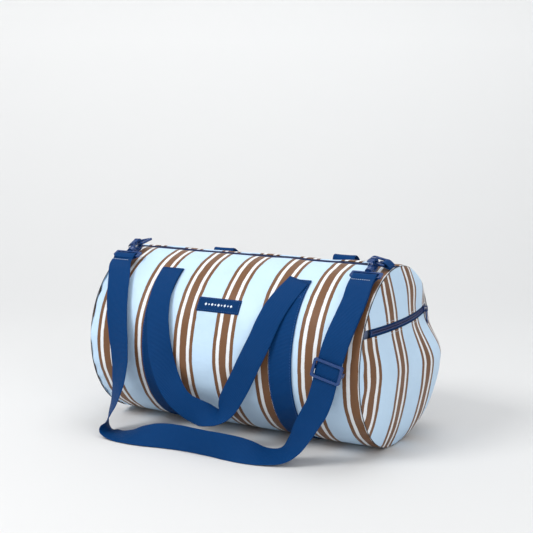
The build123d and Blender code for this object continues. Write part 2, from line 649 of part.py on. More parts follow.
for side, name in ((LEFT, "left"), (RIGHT, "right")):
    eye_middle = (EYE_NEAR + EYE_FAR) / 2
    eye_run = EYE_FAR - EYE_NEAR
    with BuildPart() as hook:
        with BuildSketch(hook_plane(side)):
            with Locations((eye_middle, 0)):
                SlotOverall(eye_run + 2 * EYE_OUTER, 2 * EYE_OUTER)
                SlotOverall(eye_run + 2 * EYE_INNER, 2 * EYE_INNER, mode=Mode.SUBTRACT)
            with Locations(((GATE_TIP - 0.4 + CHEEK_START) / 2, EYE_OUTER)):
                Rectangle(CHEEK_START - GATE_TIP + 0.4, EYE_OUTER, mode=Mode.SUBTRACT)
        extrude(amount=HOOK_WIDTH / 2, both=True)
        with BuildSketch(shank_plane(side, COLLAR[0])):
            Circle(5.5)
        extrude(amount=COLLAR[1] - COLLAR[0])
        # Slot between the cheeks for the gate's root, and the holes for its pivots.
        with BuildSketch(hook_plane(side)):
            with Locations(((CHEEK_START + 16.0) / 2, EYE_OUTER - 2.4)):
                Rectangle(16.0 - CHEEK_START, 7.5, mode=Mode.ADD)
        extrude(amount=2.3, both=True, mode=Mode.SUBTRACT)
        with BuildSketch(hook_plane(side)):
            with Locations(GATE_PIVOT):
                Circle(PIN_RADIUS + PIN_PLAY)
        extrude(amount=HOOK_WIDTH, both=True, mode=Mode.SUBTRACT)
        # Socket that the bail's headed stem turns in.
        with BuildSketch(shank_plane(side, HEAD[1] + 0.2)):
            Circle(STEM_RADIUS + PIN_PLAY)
        extrude(amount=COLLAR[1] - HEAD[1], mode=Mode.SUBTRACT)
        with BuildSketch(shank_plane(side, HEAD[0] - 0.2)):
            Circle(3.7)
        extrude(amount=HEAD[1] - HEAD[0] + 0.4, mode=Mode.SUBTRACT)
    save(hook, f"hook_{name}")

    with BuildPart() as gate:
        with BuildSketch(hook_plane(side)):
            with Locations(((GATE_TIP + GATE_HEEL) / 2, GATE_PIVOT[1])):
                Rectangle(GATE_HEEL - GATE_TIP, GATE_THICK)
        extrude(amount=HOOK_WIDTH / 2, both=True)
        with BuildSketch(hook_plane(side)):
            with Locations(((GATE_HEEL + GATE_PIVOT[0]) / 2, GATE_PIVOT[1])):
                Rectangle(GATE_PIVOT[0] - GATE_HEEL, GATE_THICK)
            with Locations(GATE_PIVOT):
                Circle(GATE_THICK / 2)
        extrude(amount=2.1, both=True)
        with BuildSketch(hook_plane(side)):
            with Locations(GATE_PIVOT):
                Circle(PIN_RADIUS)
        extrude(amount=HOOK_WIDTH / 2 - 0.1, both=True)
    save(gate, f"hook_gate_{name}")

    with BuildPart() as bail:
        with BuildSketch(Plane(origin=hook_origin(side), x_dir=X_AXIS, z_dir=hook_up)):
            turn = -1 if Plane(origin=(0, 0, 0), x_dir=X_AXIS, z_dir=hook_up).y_dir.dot(hook_down) < 0 else 1
            with Locations((0, turn * (HOOK_REACH - 5.0))):
                RectangleRounded(50, 14, 2.5)
                Rectangle(41, 6, mode=Mode.SUBTRACT)
        extrude(amount=2.0, both=True)
        with BuildSketch(shank_plane(side, HEAD[1])):
            Circle(STEM_RADIUS)
        extrude(amount=7.0)
        with BuildSketch(shank_plane(side, HEAD[0])):
            Circle(3.5)
        extrude(amount=HEAD[1] - HEAD[0])
        fillet(bail.edges().filter_by(Axis.X).sort_by_distance(hook_origin(side) + hook_down * 45)[:4], 1.2)
    save(bail, f"hook_bail_{name}")

    # On the left the strap's end is folded round the bail's bar and sewn to itself. On the right
    # the webbing only passes round the bar, and both its layers run on down to the adjuster.
    outer_tail, inner_tail = (1.65, 0.15) if side == LEFT else (2.25, 0.75)
    inner_end = STRAP_START - 2.5 if side == LEFT else STRAP_START
    with BuildPart() as fold:
        with BuildSketch(hook_plane(side).offset(-WEBBING / 2)):
            for radius, tail, half_tail, mode in (
                (4.1, STRAP_START, outer_tail, Mode.ADD),
                (2.6, inner_end, inner_tail, Mode.SUBTRACT),
            ):
                with Locations((HOOK_REACH, 0)):
                    Circle(radius, mode=mode)
                with BuildLine():
                    Polyline(
                        (HOOK_REACH, radius),
                        (tail, half_tail),
                        (tail, -half_tail),
                        (HOOK_REACH, -radius),
                        close=True,
                    )
                make_face(mode=mode)
        extrude(amount=WEBBING)
    save(fold, f"strap_fold_{name}")


# ---- shoulder strap, lying in front of the bag --------------------------------------------------
left_end = hook_origin(LEFT) + hook_down * STRAP_START
LAYER_GAP = 3.0  # between the strap and the layer that runs back behind it
right_end = hook_origin(RIGHT) + hook_down * STRAP_START + hook_up * (LAYER_GAP / 2)
STRAP_ROUTE = [
    tuple(left_end),
    tuple(left_end + hook_down * 12),
    on_barrel(-205, 152, 45),
    on_barrel(-196, 151, 59),
    on_barrel(-186, 152, 73),
    (-177, -154, 148),
    (-173, -157, 116),
    (-174, -161, 84),
    (-180, -166, 55),
    (-189, -172, 30),
    (-190, -179, 10),
    (-171, -183, 3.8),
    (-143, -186, 4.8),
    (-110, -189, 12.4),
    (-73, -187, 17.8),
    (-36, -187, 19.7),
    (4, -190, 20),
    (42, -190, 19.4),
    (76, -183, 15.2),
    (106, -173, 8),
    (132, -165, 12.5),
    (147, -160, 31),
    (157, -159, 49.5),
    (169, -158, 71),
    (183, -157, 94),
    (193, -154, 138),
    (204, -151.7, 182),
    on_barrel(210, 152, 60),
    on_barrel(216, 152.5, 47),
    tuple(right_end + hook_down * 12),
    tuple(right_end),
]
STRAP_WIDTHS = [
    (-1, 0, 0),
    (-1, 0, 0),
    (-1, 0, 0.1),
    (-1, 0, 0.1),
    (-1, 0.05, 0.05),
    (-1, 0.1, 0),
    (-0.97, 0.24, 0),
    (-0.9, 0.42, 0),
    (-0.75, 0.65, 0),
    (-0.58, 0.8, 0),
    (-0.3, 0.95, 0),
    (0, 1, 0.05),
    (0, 1, 0.18),
    (0, 0.8, 0.55),
    (0, 0.5, 0.87),
    (0, 0.2, 0.98),
    (0, 0.05, 1),
    (0, 0.2, 0.97),
    (-0.1, 0.65, 0.75),
    (-0.3, 0.9, 0.32),
    (-0.6, 0.8, 0.3),
    (-0.8, 0.5, 0.3),
    (-0.9, 0.3, 0.3),
    (-0.95, 0.1, 0.3),
    (-1, 0, 0.3),
    (-1, 0, 0.3),
    (-1, 0, 0.3),
    (-1, 0, 0.1),
    (-1, 0, 0),
    (-1, 0, 0),
    (-1, 0, 0),
]
shoulder_strap = webbing_along(STRAP_ROUTE, STRAP_WIDTHS, "shoulder strap")
save(shoulder_strap, "shoulder_strap")

# The adjuster sits on the strap's long straight run.
RUN_START, RUN_MIDDLE, RUN_END = (Vector(*p) for p in STRAP_ROUTE[24:27])
run_heading = (RUN_END - RUN_START).normalized()
adjuster_spot = RUN_MIDDLE + run_heading * 7.0
across_run = Vector(-1, 0, 0.3) - run_heading * Vector(-1, 0, 0.3).dot(run_heading)
adjuster_plane = Plane(origin=adjuster_spot, x_dir=across_run, z_dir=run_heading.cross(across_run.normalized()))
adjuster_out = adjuster_plane.z_dir
print("adjuster spot", adjuster_spot, "heading", run_heading, "out", adjuster_out)

ADJUSTER_WIDTH = 47.0
ADJUSTER_LENGTH = 29.0
BAR = 4.0
CENTRE_BAR_DEPTH = 5.2
with BuildPart(adjuster_plane) as strap_adjuster:
    with BuildSketch(adjuster_plane.offset(1.3)):
        RectangleRounded(ADJUSTER_WIDTH, ADJUSTER_LENGTH, 4)
        RectangleRounded(ADJUSTER_WIDTH - 2 * BAR, ADJUSTER_LENGTH - 2 * BAR, 2, mode=Mode.SUBTRACT)
    extrude(amount=3.2)
    for end in (-1, 1):
        with Locations((end * (ADJUSTER_WIDTH / 2 - BAR / 2), 0, 1.4)):
            Box(BAR, 6, 8.4, align=(Align.CENTER, Align.CENTER, Align.MAX))
    with Locations((0, 0, -CENTRE_BAR_DEPTH)):
        Box(ADJUSTER_WIDTH - BAR, 3.2, 3.2)
save(strap_adjuster, "strap_adjuster")

# The strap's other end is sewn round the adjuster's centre bar.
fold_plane = Plane(
    origin=adjuster_spot - adjuster_out * CENTRE_BAR_DEPTH - across_run.normalized() * (WEBBING / 2),
    x_dir=run_heading,
    z_dir=across_run,
)
with BuildPart() as adjuster_fold:
    lean = 1 if fold_plane.y_dir.dot(adjuster_out) > 0 else -1
    with BuildSketch(fold_plane):
        for radius, tail, half_tail, mode in ((4.0, 12.0, 1.65, Mode.ADD), (2.5, 9.5, 0.15, Mode.SUBTRACT)):
            Circle(radius, mode=mode)
            with BuildLine():
                Polyline(
                    (0, radius),
                    (tail, lean * 1.6 + half_tail),
                    (tail, lean * 1.6 - half_tail),
                    (0, -radius),
                    close=True,
                )
            make_face(mode=mode)
    extrude(amount=WEBBING)
save(adjuster_fold, "adjuster_fold")

# From the adjuster the webbing runs back up behind the strap, to the right hook.
SLIDE_UP = 6.0
return_start = adjuster_spot + run_heading * (12.5 + SLIDE_UP) - adjuster_out * LAYER_GAP
RETURN_ROUTE = [
    tuple(return_start),
    tuple(RUN_END - adjuster_out * LAYER_GAP),
    on_barrel(210, 152 - LAYER_GAP, 60),
    on_barrel(216, 152.5 - LAYER_GAP, 47),
    tuple(right_end + hook_down * 12 - hook_up * LAYER_GAP),
    tuple(right_end - hook_up * LAYER_GAP),
]
RETURN_WIDTHS = STRAP_WIDTHS[25:]
strap_return = webbing_along(RETURN_ROUTE, RETURN_WIDTHS, "strap return")
save(strap_return, "strap_return")


# ---- label --------------------------------------------------------------------------------------
label_half = degrees(LABEL_HEIGHT / 2 / BODY_RADIUS)
with BuildPart() as label_patch:
    with BuildSketch(cross_section(LABEL_X - LABEL_WIDTH / 2)):
        with Locations((0, AXIS_Z)):
            Circle(BODY_RADIUS + 0.1 + LABEL_THICK)
            Circle(BODY_RADIUS + 0.1, mode=Mode.SUBTRACT)
        with BuildLine():
            Polyline(
                (0, AXIS_Z),
                around(2 * BODY_RADIUS, LABEL_ANGLE - label_half),
                around(2 * BODY_RADIUS, LABEL_ANGLE + label_half),
                close=True,
            )
        make_face(mode=Mode.INTERSECT)
    extrude(amount=LABEL_WIDTH)
save(label_patch, "label_patch")

print("handle hinge", around(HINGE_RADIUS, ANCHOR_ANGLE))
print("pull pivot", PULL_PIVOT_X, PULL_PIVOT_Z)
print("pocket arc", POCKET_CENTRE_X, POCKET_ARC_RADIUS, POCKET_REST_ANGLE, POCKET_HALF_ANGLE)
print("pocket pull pivot", pocket_pivot, "along", pocket_along)
print("ring bar", ring_point(RIGHT, 0, 0), "tangent", tangent)
print("hook origins", hook_origin(LEFT), hook_origin(RIGHT), "down", hook_down, "up", hook_up)
for side in (LEFT, RIGHT):
    print("gate pivot", hook_plane(side).from_local_coords((*GATE_PIVOT, 0)))
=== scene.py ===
import json
from math import asin, atan2, cos, degrees, exp, hypot, pi, radians, sin, sqrt

import bpy
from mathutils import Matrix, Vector, noise


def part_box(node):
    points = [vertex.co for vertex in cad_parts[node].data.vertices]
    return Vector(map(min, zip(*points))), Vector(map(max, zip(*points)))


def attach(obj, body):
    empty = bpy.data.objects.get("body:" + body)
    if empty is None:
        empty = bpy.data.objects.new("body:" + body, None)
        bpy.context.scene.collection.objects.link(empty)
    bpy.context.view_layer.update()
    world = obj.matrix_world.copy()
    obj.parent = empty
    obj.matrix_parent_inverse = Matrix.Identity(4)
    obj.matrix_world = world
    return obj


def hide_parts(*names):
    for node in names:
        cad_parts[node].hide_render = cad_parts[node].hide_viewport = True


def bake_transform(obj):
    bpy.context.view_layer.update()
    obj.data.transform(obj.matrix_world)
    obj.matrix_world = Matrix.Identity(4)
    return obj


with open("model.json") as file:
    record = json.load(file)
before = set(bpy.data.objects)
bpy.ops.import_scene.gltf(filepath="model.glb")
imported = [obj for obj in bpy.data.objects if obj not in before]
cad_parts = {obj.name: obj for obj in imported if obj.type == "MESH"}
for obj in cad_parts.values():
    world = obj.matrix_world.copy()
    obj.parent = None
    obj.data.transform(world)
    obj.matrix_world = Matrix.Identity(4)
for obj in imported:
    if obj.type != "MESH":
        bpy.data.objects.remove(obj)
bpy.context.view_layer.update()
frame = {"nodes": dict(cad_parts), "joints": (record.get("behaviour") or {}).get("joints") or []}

NODES = frame["nodes"]
JOINTS = {joint["name"]: joint for joint in frame["joints"]}
MM = 0.001


def middle(node):
    """The middle of a CAD node's box at rest."""
    low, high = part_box(node)
    return (low + high) / 2


# ---- the bag's main dimensions, in metres -------------------------------------------------------
BODY_LOW, BODY_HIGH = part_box("body_panel")
SEAM = BODY_HIGH.x + 0.00015
RADIUS = (BODY_HIGH.y - BODY_LOW.y) / 2
BOTTOM = BODY_LOW.z
FLATTENED = 0.004  # how far the barrel's underside is pressed flat
AXIS = BOTTOM + RADIUS - FLATTENED
DOME = 0.020
BAND_GAP = 0.0003  # the carrying bands lie this far off the barrel's radius
BANDS = [middle("webbing_band_left").x, middle("webbing_band_right").x]
ANCHOR = 33.0  # the handles' anchors, in degrees from the top
ZIP_HALF = 0.010
POCKET_Z = (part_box("pocket_coil_lower")[1].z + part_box("pocket_coil_upper")[0].z) / 2
POCKET_ZIP_HALF = 0.006
LABEL_LOW, LABEL_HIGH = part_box("label_patch")
LABEL_MID = middle("label_patch")
LABEL_HALF_LENGTH = (LABEL_HIGH.x - LABEL_LOW.x) / 2
LABEL_HALF_HEIGHT = 0.01175
LABEL_ANGLE = degrees(atan2(-LABEL_MID.y, LABEL_MID.z - AXIS))

# Webbing: its width and thickness, and how far the sewing reaches to each edge, along and across it.
WEBBING = 0.038
THICK = 0.0015
SEWN_EDGE = 0.0168
SEWN_ACROSS = 0.0164

# The printed stripes: a group each pitch, and where its colours end either side of its middle.
STRIPE_PITCH = 0.0724
BODY_STRIPE = 0.0115
WIDE_BROWN_END, WHITE_END, THIN_BROWN_END = 0.0061, 0.0117, 0.0178


# ---- node helpers -------------------------------------------------------------------------------
class Shader:
    """A Principled material with short calls for adding nodes."""

    def __init__(self, name, colour=None, rough=0.5, **sockets):
        self.material = bpy.data.materials.new(name)
        self.material.use_nodes = True
        self.tree = self.material.node_tree
        self.main = self.tree.nodes["Principled BSDF"]
        if colour:
            self.main.inputs["Base Color"].default_value = (*colour, 1)
            self.material.diffuse_color = (*colour, 1)
        self.main.inputs["Roughness"].default_value = rough
        for key, value in sockets.items():
            self.main.inputs[key.replace("_", " ")].default_value = value

    def node(self, kind, **settings):
        made = self.tree.nodes.new("ShaderNode" + kind)
        for key, value in settings.items():
            setattr(made, key, value)
        return made

    def join(self, source, target):
        self.tree.links.new(source, target)

    def math(self, operation, a, b=None, clamp=False):
        made = self.node("Math", operation=operation, use_clamp=clamp)
        for socket, value in zip(made.inputs, (a, b)):
            if value is None:
                continue
            if isinstance(value, (int, float)):
                socket.default_value = value
            else:
                self.join(value, socket)
        return made.outputs[0]

    def noise(self, vector, scale, detail=3.0, rough=0.55):
        made = self.node("TexNoise")
        made.inputs["Scale"].default_value = scale
        made.inputs["Detail"].default_value = detail
        made.inputs["Roughness"].default_value = rough
        self.join(vector, made.inputs["Vector"])
        return made.outputs["Fac"]

    def mix(self, share, a, b, blend="MIX"):
        made = self.node("Mix", data_type="RGBA", blend_type=blend)
        for socket, value in ((made.inputs[0], share), (made.inputs[6], a), (made.inputs[7], b)):
            if isinstance(value, (int, float)):
                socket.default_value = value
            elif isinstance(value, tuple):
                socket.default_value = (*value, 1)
            else:
                self.join(value, socket)
        return made.outputs[2]

    def coords(self):
        """The sewn coordinates in metres, and the place in the bag's frame."""
        uv = self.node("UVMap")
        split = self.node("SeparateXYZ")
        self.join(uv.outputs[0], split.inputs[0])
        place = self.node("TexCoord")
        return split.outputs[0], split.outputs[1], place.outputs["Object"]

    def wave(self, along, period):
        """Rises and falls once each period: its middle is 0.5."""
        turned = self.math("MULTIPLY", along, 2 * pi / period)
        return self.math("MULTIPLY_ADD", self.math("SINE", turned), 0.5)

    def bump(self, *layers):
        """Layers of (height, distance), each bumped on the one before."""
        last = None
        for height, distance in layers:
            made = self.node("Bump")
            made.inputs["Distance"].default_value = distance
            self.join(height, made.inputs["Height"])
            if last:
                self.join(last, made.inputs["Normal"])
            last = made.outputs[0]
        self.join(last, self.main.inputs["Normal"])

    def rough(self, source, low, high):
        made = self.node("MapRange")
        made.inputs["To Min"].default_value = low
        made.inputs["To Max"].default_value = high
        self.join(source, made.inputs["Value"])
        self.join(made.outputs[0], self.main.inputs["Roughness"])

    def colour(self, source):
        self.join(source, self.main.inputs["Base Color"])


LIGHT_BLUE = (0.57, 0.76, 0.95)
WHITE = (0.86, 0.88, 0.90)
BROWN = (0.170, 0.066, 0.018)
NAVY = (0.0012, 0.033, 0.128)
# The paler navy below is painted sheen: the lit tops of the webbing's ribs.
NAVY_PAINTED_SHEEN = (0.002, 0.055, 0.205)


def striped_fabric(name, centre, pitch=STRIPE_PITCH):
    """Laminated woven cloth printed with groups of a wide and two thin brown stripes."""
    s = Shader(name, LIGHT_BLUE, 0.42, Specular_IOR_Level=0.22)
    across, along, place = s.coords()
    uneven = 0.0011
    wander = s.math("MULTIPLY", s.math("SUBTRACT", s.noise(place, 95.0, 2.0), 0.5), uneven)
    turns = s.math("DIVIDE", s.math("SUBTRACT", s.math("ADD", across, wander), centre), pitch)
    share = s.math("FRACT", s.math("ADD", turns, 0.5))
    away = s.math("MULTIPLY", s.math("ABSOLUTE", s.math("SUBTRACT", share, 0.5)), pitch)
    ramp = s.node("ValToRGB")
    ramp.color_ramp.interpolation = "CONSTANT"
    s.join(s.math("DIVIDE", away, pitch), ramp.inputs[0])
    elements = ramp.color_ramp.elements
    elements[0].color = (*BROWN, 1)
    elements[1].position = WIDE_BROWN_END / pitch
    elements[1].color = (*WHITE, 1)
    for edge, tint in ((WHITE_END, BROWN), (THIN_BROWN_END, LIGHT_BLUE)):
        made = elements.new(edge / pitch)
        made.color = (*tint, 1)
    blotch = s.noise(place, 22.0, 4.0)
    threads = s.mix(0.5, s.wave(across, 0.0011), s.wave(along, 0.0013))
    shaded = s.mix(s.math("MULTIPLY", blotch, 0.20), ramp.outputs[0], (0.30, 0.36, 0.46), "MULTIPLY")
    s.colour(s.mix(s.math("MULTIPLY", threads, 0.045), shaded, (1.0, 1.0, 1.0)))
    s.rough(blotch, 0.30, 0.52)
    creases = s.noise(place, 42.0, 6.0, 0.6)
    s.bump((creases, 0.0017), (threads, 0.00012))
    return s.material


def webbing(name, dark=1.0):
    """Ribbed polypropylene webbing: fine ribs across it, with painted shade in their grooves and painted
    sheen on their tops, and a firmer woven edge.
    """
    s = Shader(name, NAVY, 0.6, Specular_IOR_Level=0.08)
    across, along, place = s.coords()
    ribs = s.wave(along, 0.0019)
    weft = s.wave(across, 0.0016)
    # The rib and weft pattern paints shade in the grooves (the navy at 0.78) and sheen on the rib tops
    # (the paler navy).
    rib_painted_shade_and_sheen = s.math("MULTIPLY", s.math("ADD", s.math("MULTIPLY", ribs, 1.4), weft), 0.42)
    worn = s.noise(place, 120.0, 4.0)
    base = s.mix(rib_painted_shade_and_sheen, tuple(v * 0.78 * dark for v in NAVY), tuple(v * dark for v in NAVY_PAINTED_SHEEN))
    s.colour(s.mix(s.math("MULTIPLY", worn, 0.35), base, tuple(v * 1.2 * dark for v in NAVY)))
    s.rough(worn, 0.45, 0.68)
    s.bump((s.noise(place, 60.0, 3.0), 0.0005), (ribs, 0.00035), (weft, 0.00015))
    return s.material


def plain(name, colour, rough, scale=900.0, depth=0.00008, **sockets):
    """One colour with a little uneven tint, and a fine grain."""
    s = Shader(name, colour, rough, **sockets)
    _, _, place = s.coords()
    grain = s.noise(place, scale, 3.0)
    tint = s.noise(place, 60.0, 3.0)
    paler = tuple(min(1, v * 1.5 + 0.004) for v in colour)
    s.colour(s.mix(s.math("MULTIPLY", tint, 0.4), colour, paler))
    s.rough(tint, max(0.05, rough - 0.08), min(1, rough + 0.1))
    s.bump((grain, depth))
    return s.material


FABRIC = striped_fabric("striped_fabric", BODY_STRIPE)
END_LEFT = striped_fabric("striped_fabric_left_end", 0.018)
END_LOWER = striped_fabric("striped_fabric_pocket", -0.039, 0.0745)
END_UPPER = striped_fabric("striped_fabric_pocket_top", -0.050, 0.0760)
LINING = plain("lining_cloth", (0.10, 0.13, 0.22), 0.85, 1400.0, 0.0002)
STRAPPING = webbing("navy_webbing")
BINDING = webbing("navy_binding", 0.7)
HARDWARE = plain("navy_hardware", (0.004, 0.035, 0.145), 0.25, 700.0, 0.00004)
METAL = plain("navy_zip_metal", (0.012, 0.04, 0.15), 0.3, 800.0, 0.00004, Metallic=0.4)
TAPE = webbing("zip_tape_weave", 0.8)
COIL = plain("zip_coil_nylon", (0.020, 0.030, 0.12), 0.38, 1500.0, 0.00003)
THREAD = plain("sewing_thread", (0.02, 0.08, 0.26), 0.6, 2500.0, 0.00004)
PALE_THREAD = plain("pale_thread", (0.62, 0.72, 0.86), 0.6, 2500.0, 0.00004)
# The colour below is near-black painted shade, for the groove of the end seams.
SEAM_PAINTED_SHADE = plain("seam_painted_shade_line", (0.03, 0.035, 0.05), 0.8, 2500.0, 0.00004)
LABEL = webbing("woven_label", 0.85)


# ---- mesh helpers -------------------------------------------------------------------------------
def mesh_piece(name, points, faces, material, body, uvs=None, stands_for=(), slot=None, smooth=True):
    """A shown mesh that rides on a body, or on none yet where the body is None."""
    mesh = bpy.data.meshes.new(name)
    mesh.from_pydata([tuple(p) for p in points], [], faces)
    if uvs:
        layer = mesh.uv_layers.new(name="UVMap")
        for loop in mesh.loops:
            layer.data[loop.index].uv = uvs[loop.vertex_index]
    mesh.materials.append(material)
    if smooth:
        for face in mesh.polygons:
            face.use_smooth = True
    mesh.update()
    piece = bpy.data.objects.new(name, mesh)
    bpy.context.scene.collection.objects.link(piece)
    if body:
        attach(piece, body)
    if stands_for:
        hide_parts(*stands_for)
    return piece


def grid_faces(rows, columns, wrap_rows=False, wrap_columns=False):
    """The quads of a grid of points, written row by row."""
    faces = []
    for i in range(rows if wrap_rows else rows - 1):
        for j in range(columns if wrap_columns else columns - 1):
            a, b = i * columns + j, i * columns + (j + 1) % columns
            c, d = ((i + 1) % rows) * columns + (j + 1) % columns, ((i + 1) % rows) * columns + j
            faces.append((a, b, c, d))
    return faces


def cap_faces(start, columns, flipped):
    """The quads that close one end of a strip, whose sections have this many points."""
    faces = []
    for j in range(columns // 2 - 1):
        quad = (start + j, start + j + 1, start + columns - 2 - j, start + columns - 1 - j)
        faces.append(quad if flipped else tuple(reversed(quad)))
    return faces


def strip_faces(rows, columns):
    """A closed strip: its sections joined, and both its ends capped."""
    sides = grid_faces(rows, columns, wrap_columns=True)
    return sides + cap_faces(0, columns, False) + cap_faces((rows - 1) * columns, columns, True)


def thicken(piece, thickness, offset=-1.0):
    """Gives a sheet its thickness, on the side that offset says."""
    made = piece.modifiers.new("thickness", "SOLIDIFY")
    made.thickness = thickness
    made.offset = offset
    return piece


def smooth_line(points, steps=8):
    """Points read along the smooth line that has these control points."""
    curve = bpy.data.curves.new("route", "CURVE")
    curve.dimensions = "3D"
    spline = curve.splines.new("NURBS")
    spline.points.add(len(points) - 1)
    for spot, point in zip(spline.points, points):
        spot.co = (*point, 1)
    spline.order_u = 3
    spline.use_endpoint_u = True
    spline.resolution_u = steps
    holder = bpy.data.objects.new("route", curve)
    bpy.context.scene.collection.objects.link(holder)
    bpy.context.view_layer.update()
    mesh = bpy.data.meshes.new_from_object(holder)
    found = [v.co.copy() for v in mesh.vertices]
    bpy.data.objects.remove(holder)
    bpy.data.curves.remove(curve)
    bpy.data.meshes.remove(mesh)
    return found


# Where the points of a webbing's section are across its half width; its edges are thinned past 0.93.
PROFILE = [-1.0, -0.985, -0.93, -0.8, -0.6, -0.3, 0.0, 0.3, 0.6, 0.8, 0.93, 0.985, 1.0]


def ribbon_sections(route, widths, width, thick, steps=8, floor=None, cup=0.0):
    """Rings of points round a flat strip that follows a smooth line."""
    line = smooth_line(route, steps)
    turned = smooth_line(widths, steps)
    points, uvs, run = [], [], 0.0
    for i, spot in enumerate(line):
        heading = (line[min(i + 1, len(line) - 1)] - line[max(i - 1, 0)]).normalized()
        across = turned[i] - heading * turned[i].dot(heading)
        across.normalize()
        normal = heading.cross(across)
        run += (spot - line[i - 1]).length if i else 0.0
        ring = []
        for share in PROFILE:
            edge = 1 - max(0.0, abs(share) - 0.93) / 0.07 * 0.55
            ring.append((share, thick / 2 * edge))
        for share, lift in ring + [(s, -h) for s, h in reversed(ring)]:
            bow = cup * (1 - share * share) * thick
            ripple = 0.00022 * sin(run * 190 + share * 2.1) * abs(share)
            place = spot + across * (share * width / 2) + normal * (lift + bow + ripple)
            if floor is not None and place.z < floor:
                place.z = floor + (0.0 if lift < 0 else 0.0004)
            points.append(place)
            uvs.append((share * width / 2, run))
    return line, points, uvs, 2 * len(PROFILE)


def ribbon(name, route, widths, body, material=None, width=WEBBING, thick=THICK, steps=8, floor=None,
           cup=0.0, **extra):
    """A flat strip of webbing along a route, with its width direction at each point of the route."""
    line, points, uvs, columns = ribbon_sections(route, widths, width, thick, steps, floor, cup)
    faces = strip_faces(len(line), columns)
    piece = mesh_piece(name, points, faces, material or STRAPPING, body, uvs, **extra)
    return piece, line


def stitches(name, runs, body, material, length=0.0028, gap=0.0013, radius=0.00032, lift=0.0002,
             slot="webbing"):
    """Sewing thread: short raised stitches along lines of points, each line with its outward side."""
    points, faces = [], []
    for line, out in runs:
        dist = [0.0]
        for a, b in zip(line, line[1:]):
            dist.append(dist[-1] + (b - a).length)

        def at(d):
            for i in range(1, len(dist)):
                if dist[i] >= d:
                    share = (d - dist[i - 1]) / max(1e-9, dist[i] - dist[i - 1])
                    return line[i - 1].lerp(line[i], share)
            return line[-1].copy()

        spot = 0.0
        while spot + length < dist[-1]:
            a, b = at(spot), at(spot + length)
            up = out(at(spot + length / 2)) if callable(out) else out
            heading = (b - a).normalized()
            side = heading.cross(up).normalized()
            base = len(points)
            for share, size in ((0.0, 0.25), (0.2, 1.0), (0.8, 1.0), (1.0, 0.25)):
                centre = a.lerp(b, share) + up * (lift - (0.0002 if size < 1 else 0.0))
                for k in range(5):
                    turn = 2 * pi * k / 5
                    points.append(centre + (side * cos(turn) + up * sin(turn)) * radius * size)
            for i in range(3):
                for k in range(5):
                    faces.append((base + 5 * i + k, base + 5 * i + (k + 1) % 5,
                                  base + 5 * i + 5 + (k + 1) % 5, base + 5 * i + 5 + k))
            faces.append(tuple(base + k for k in reversed(range(5))))
            faces.append(tuple(base + 15 + k for k in range(5)))
            spot += length + gap
    return mesh_piece(name, points, faces, material, body, slot=slot)


def outward(place):
    """The direction straight out of the barrel at a place."""
    away = Vector((0, place.y, place.z - AXIS))
    return away.normalized()


def barrel(x, radius, angle):
    """A point round the barrel's axis: its angle is in degrees from the top, positive to the front."""
    return Vector((x, -radius * sin(radians(angle)), AXIS + radius * cos(radians(angle))))


def smoothstep(value, low, high):
    """0 below low, 1 above high, and a smooth rise between."""
    share = min(1.0, max(0.0, (value - low) / (high - low)))
    return share * share * (3 - 2 * share)


# ---- body fabric --------------------------------------------------------------------------------
def seam_pucker(x, angle):
    """How strongly the cloth is gathered near an end seam, and its waves there."""
    near = exp(-max(0.0, SEAM - abs(x)) / 0.016)
    waves = sin(radians(angle) * 23 + 2.0 * sin(radians(angle) * 5 + (1 if x > 0 else 2.3)))
    return near, waves


def body_point(x, angle):
    """A point of the body cloth, filled but slack: held by the bands, loose between them."""
    held = max(exp(-(((x - band) / 0.023) ** 4)) for band in BANDS)
    label = exp(-(((x - LABEL_MID.x) / 0.05) ** 6) - (((angle - LABEL_ANGLE) / 8.0) ** 6))
    free = (1 - held) * (1 - label)
    from_seam = SEAM - abs(x)
    bay = 0.5 - 0.5 * cos(2 * pi * min(1.0, max(0.0, from_seam / 0.118)))
    fold = noise.noise(Vector((x * 9.0, angle * 0.018, 3.1)))
    crumple = noise.noise(Vector((x * 30.0, angle * 0.075, 8.4)))
    fine = noise.noise(Vector((x * 70.0, angle * 0.14, 1.7)))
    near, waves = seam_pucker(x, angle)
    out = 0.0006 * bay + 0.0029 * fold + 0.0014 * crumple + 0.0004 * fine - 0.0006
    out += near * 0.0011 * waves
    out -= 0.0016 * exp(-(from_seam / 0.0025) ** 2)
    from_top = abs(((angle + 180) % 360) - 180)
    if out < 0:  # beside the zip the cloth doesn't sink, so it stays over the tapes
        out *= smoothstep(from_top, 7, 14)
    under = smoothstep(from_top, 150, 165)
    out = min(out, 0.0028) * free * (1 - 0.8 * under) - 0.0004 * held
    drift = noise.noise(Vector((x * 12.0, angle * 0.03, 12.0)))
    shift = free * (0.0011 * drift + near * 0.0011 * waves) * smoothstep(from_seam, 0.0, 0.006)
    place = barrel(x + shift, RADIUS + out, angle)
    if place.z < BOTTOM:
        place.z = BOTTOM - 0.0007 * free * smoothstep(BOTTOM - place.z, 0.0, 0.002)
    return place


def body_cloth(rows=176, columns=236):
    """The striped cloth round the barrel, from one edge of the top zip to the other."""
    zip_angle = degrees(asin(ZIP_HALF / RADIUS))
    tucked = 0.0006
    points, uvs = [], []
    for i in range(rows):
        angle = zip_angle + (360 - 2 * zip_angle) * i / (rows - 1)
        for j in range(columns):
            x = -SEAM + 2 * SEAM * j / (columns - 1)
            place = body_point(x, angle)
            if i in (0, rows - 1):
                place.z -= tucked
            points.append(place)
            uvs.append((x, radians(angle) * RADIUS))
    piece = mesh_piece("body_cloth", points, grid_faces(rows, columns), FABRIC, "bag", uvs,
                       stands_for=("body_panel",), slot="striped_fabric")
    thicken(piece, 0.001, 1.0)


body_cloth()


# ---- ends ---------------------------------------------------------------------------------------
def dome_depth(bulge, rise):
    """How far a spherical dome stands out, at this distance from its middle."""
    ball = (RADIUS**2 + bulge**2) / (2 * bulge)
    return bulge - ball + sqrt(max(0.0, ball**2 - rise**2))


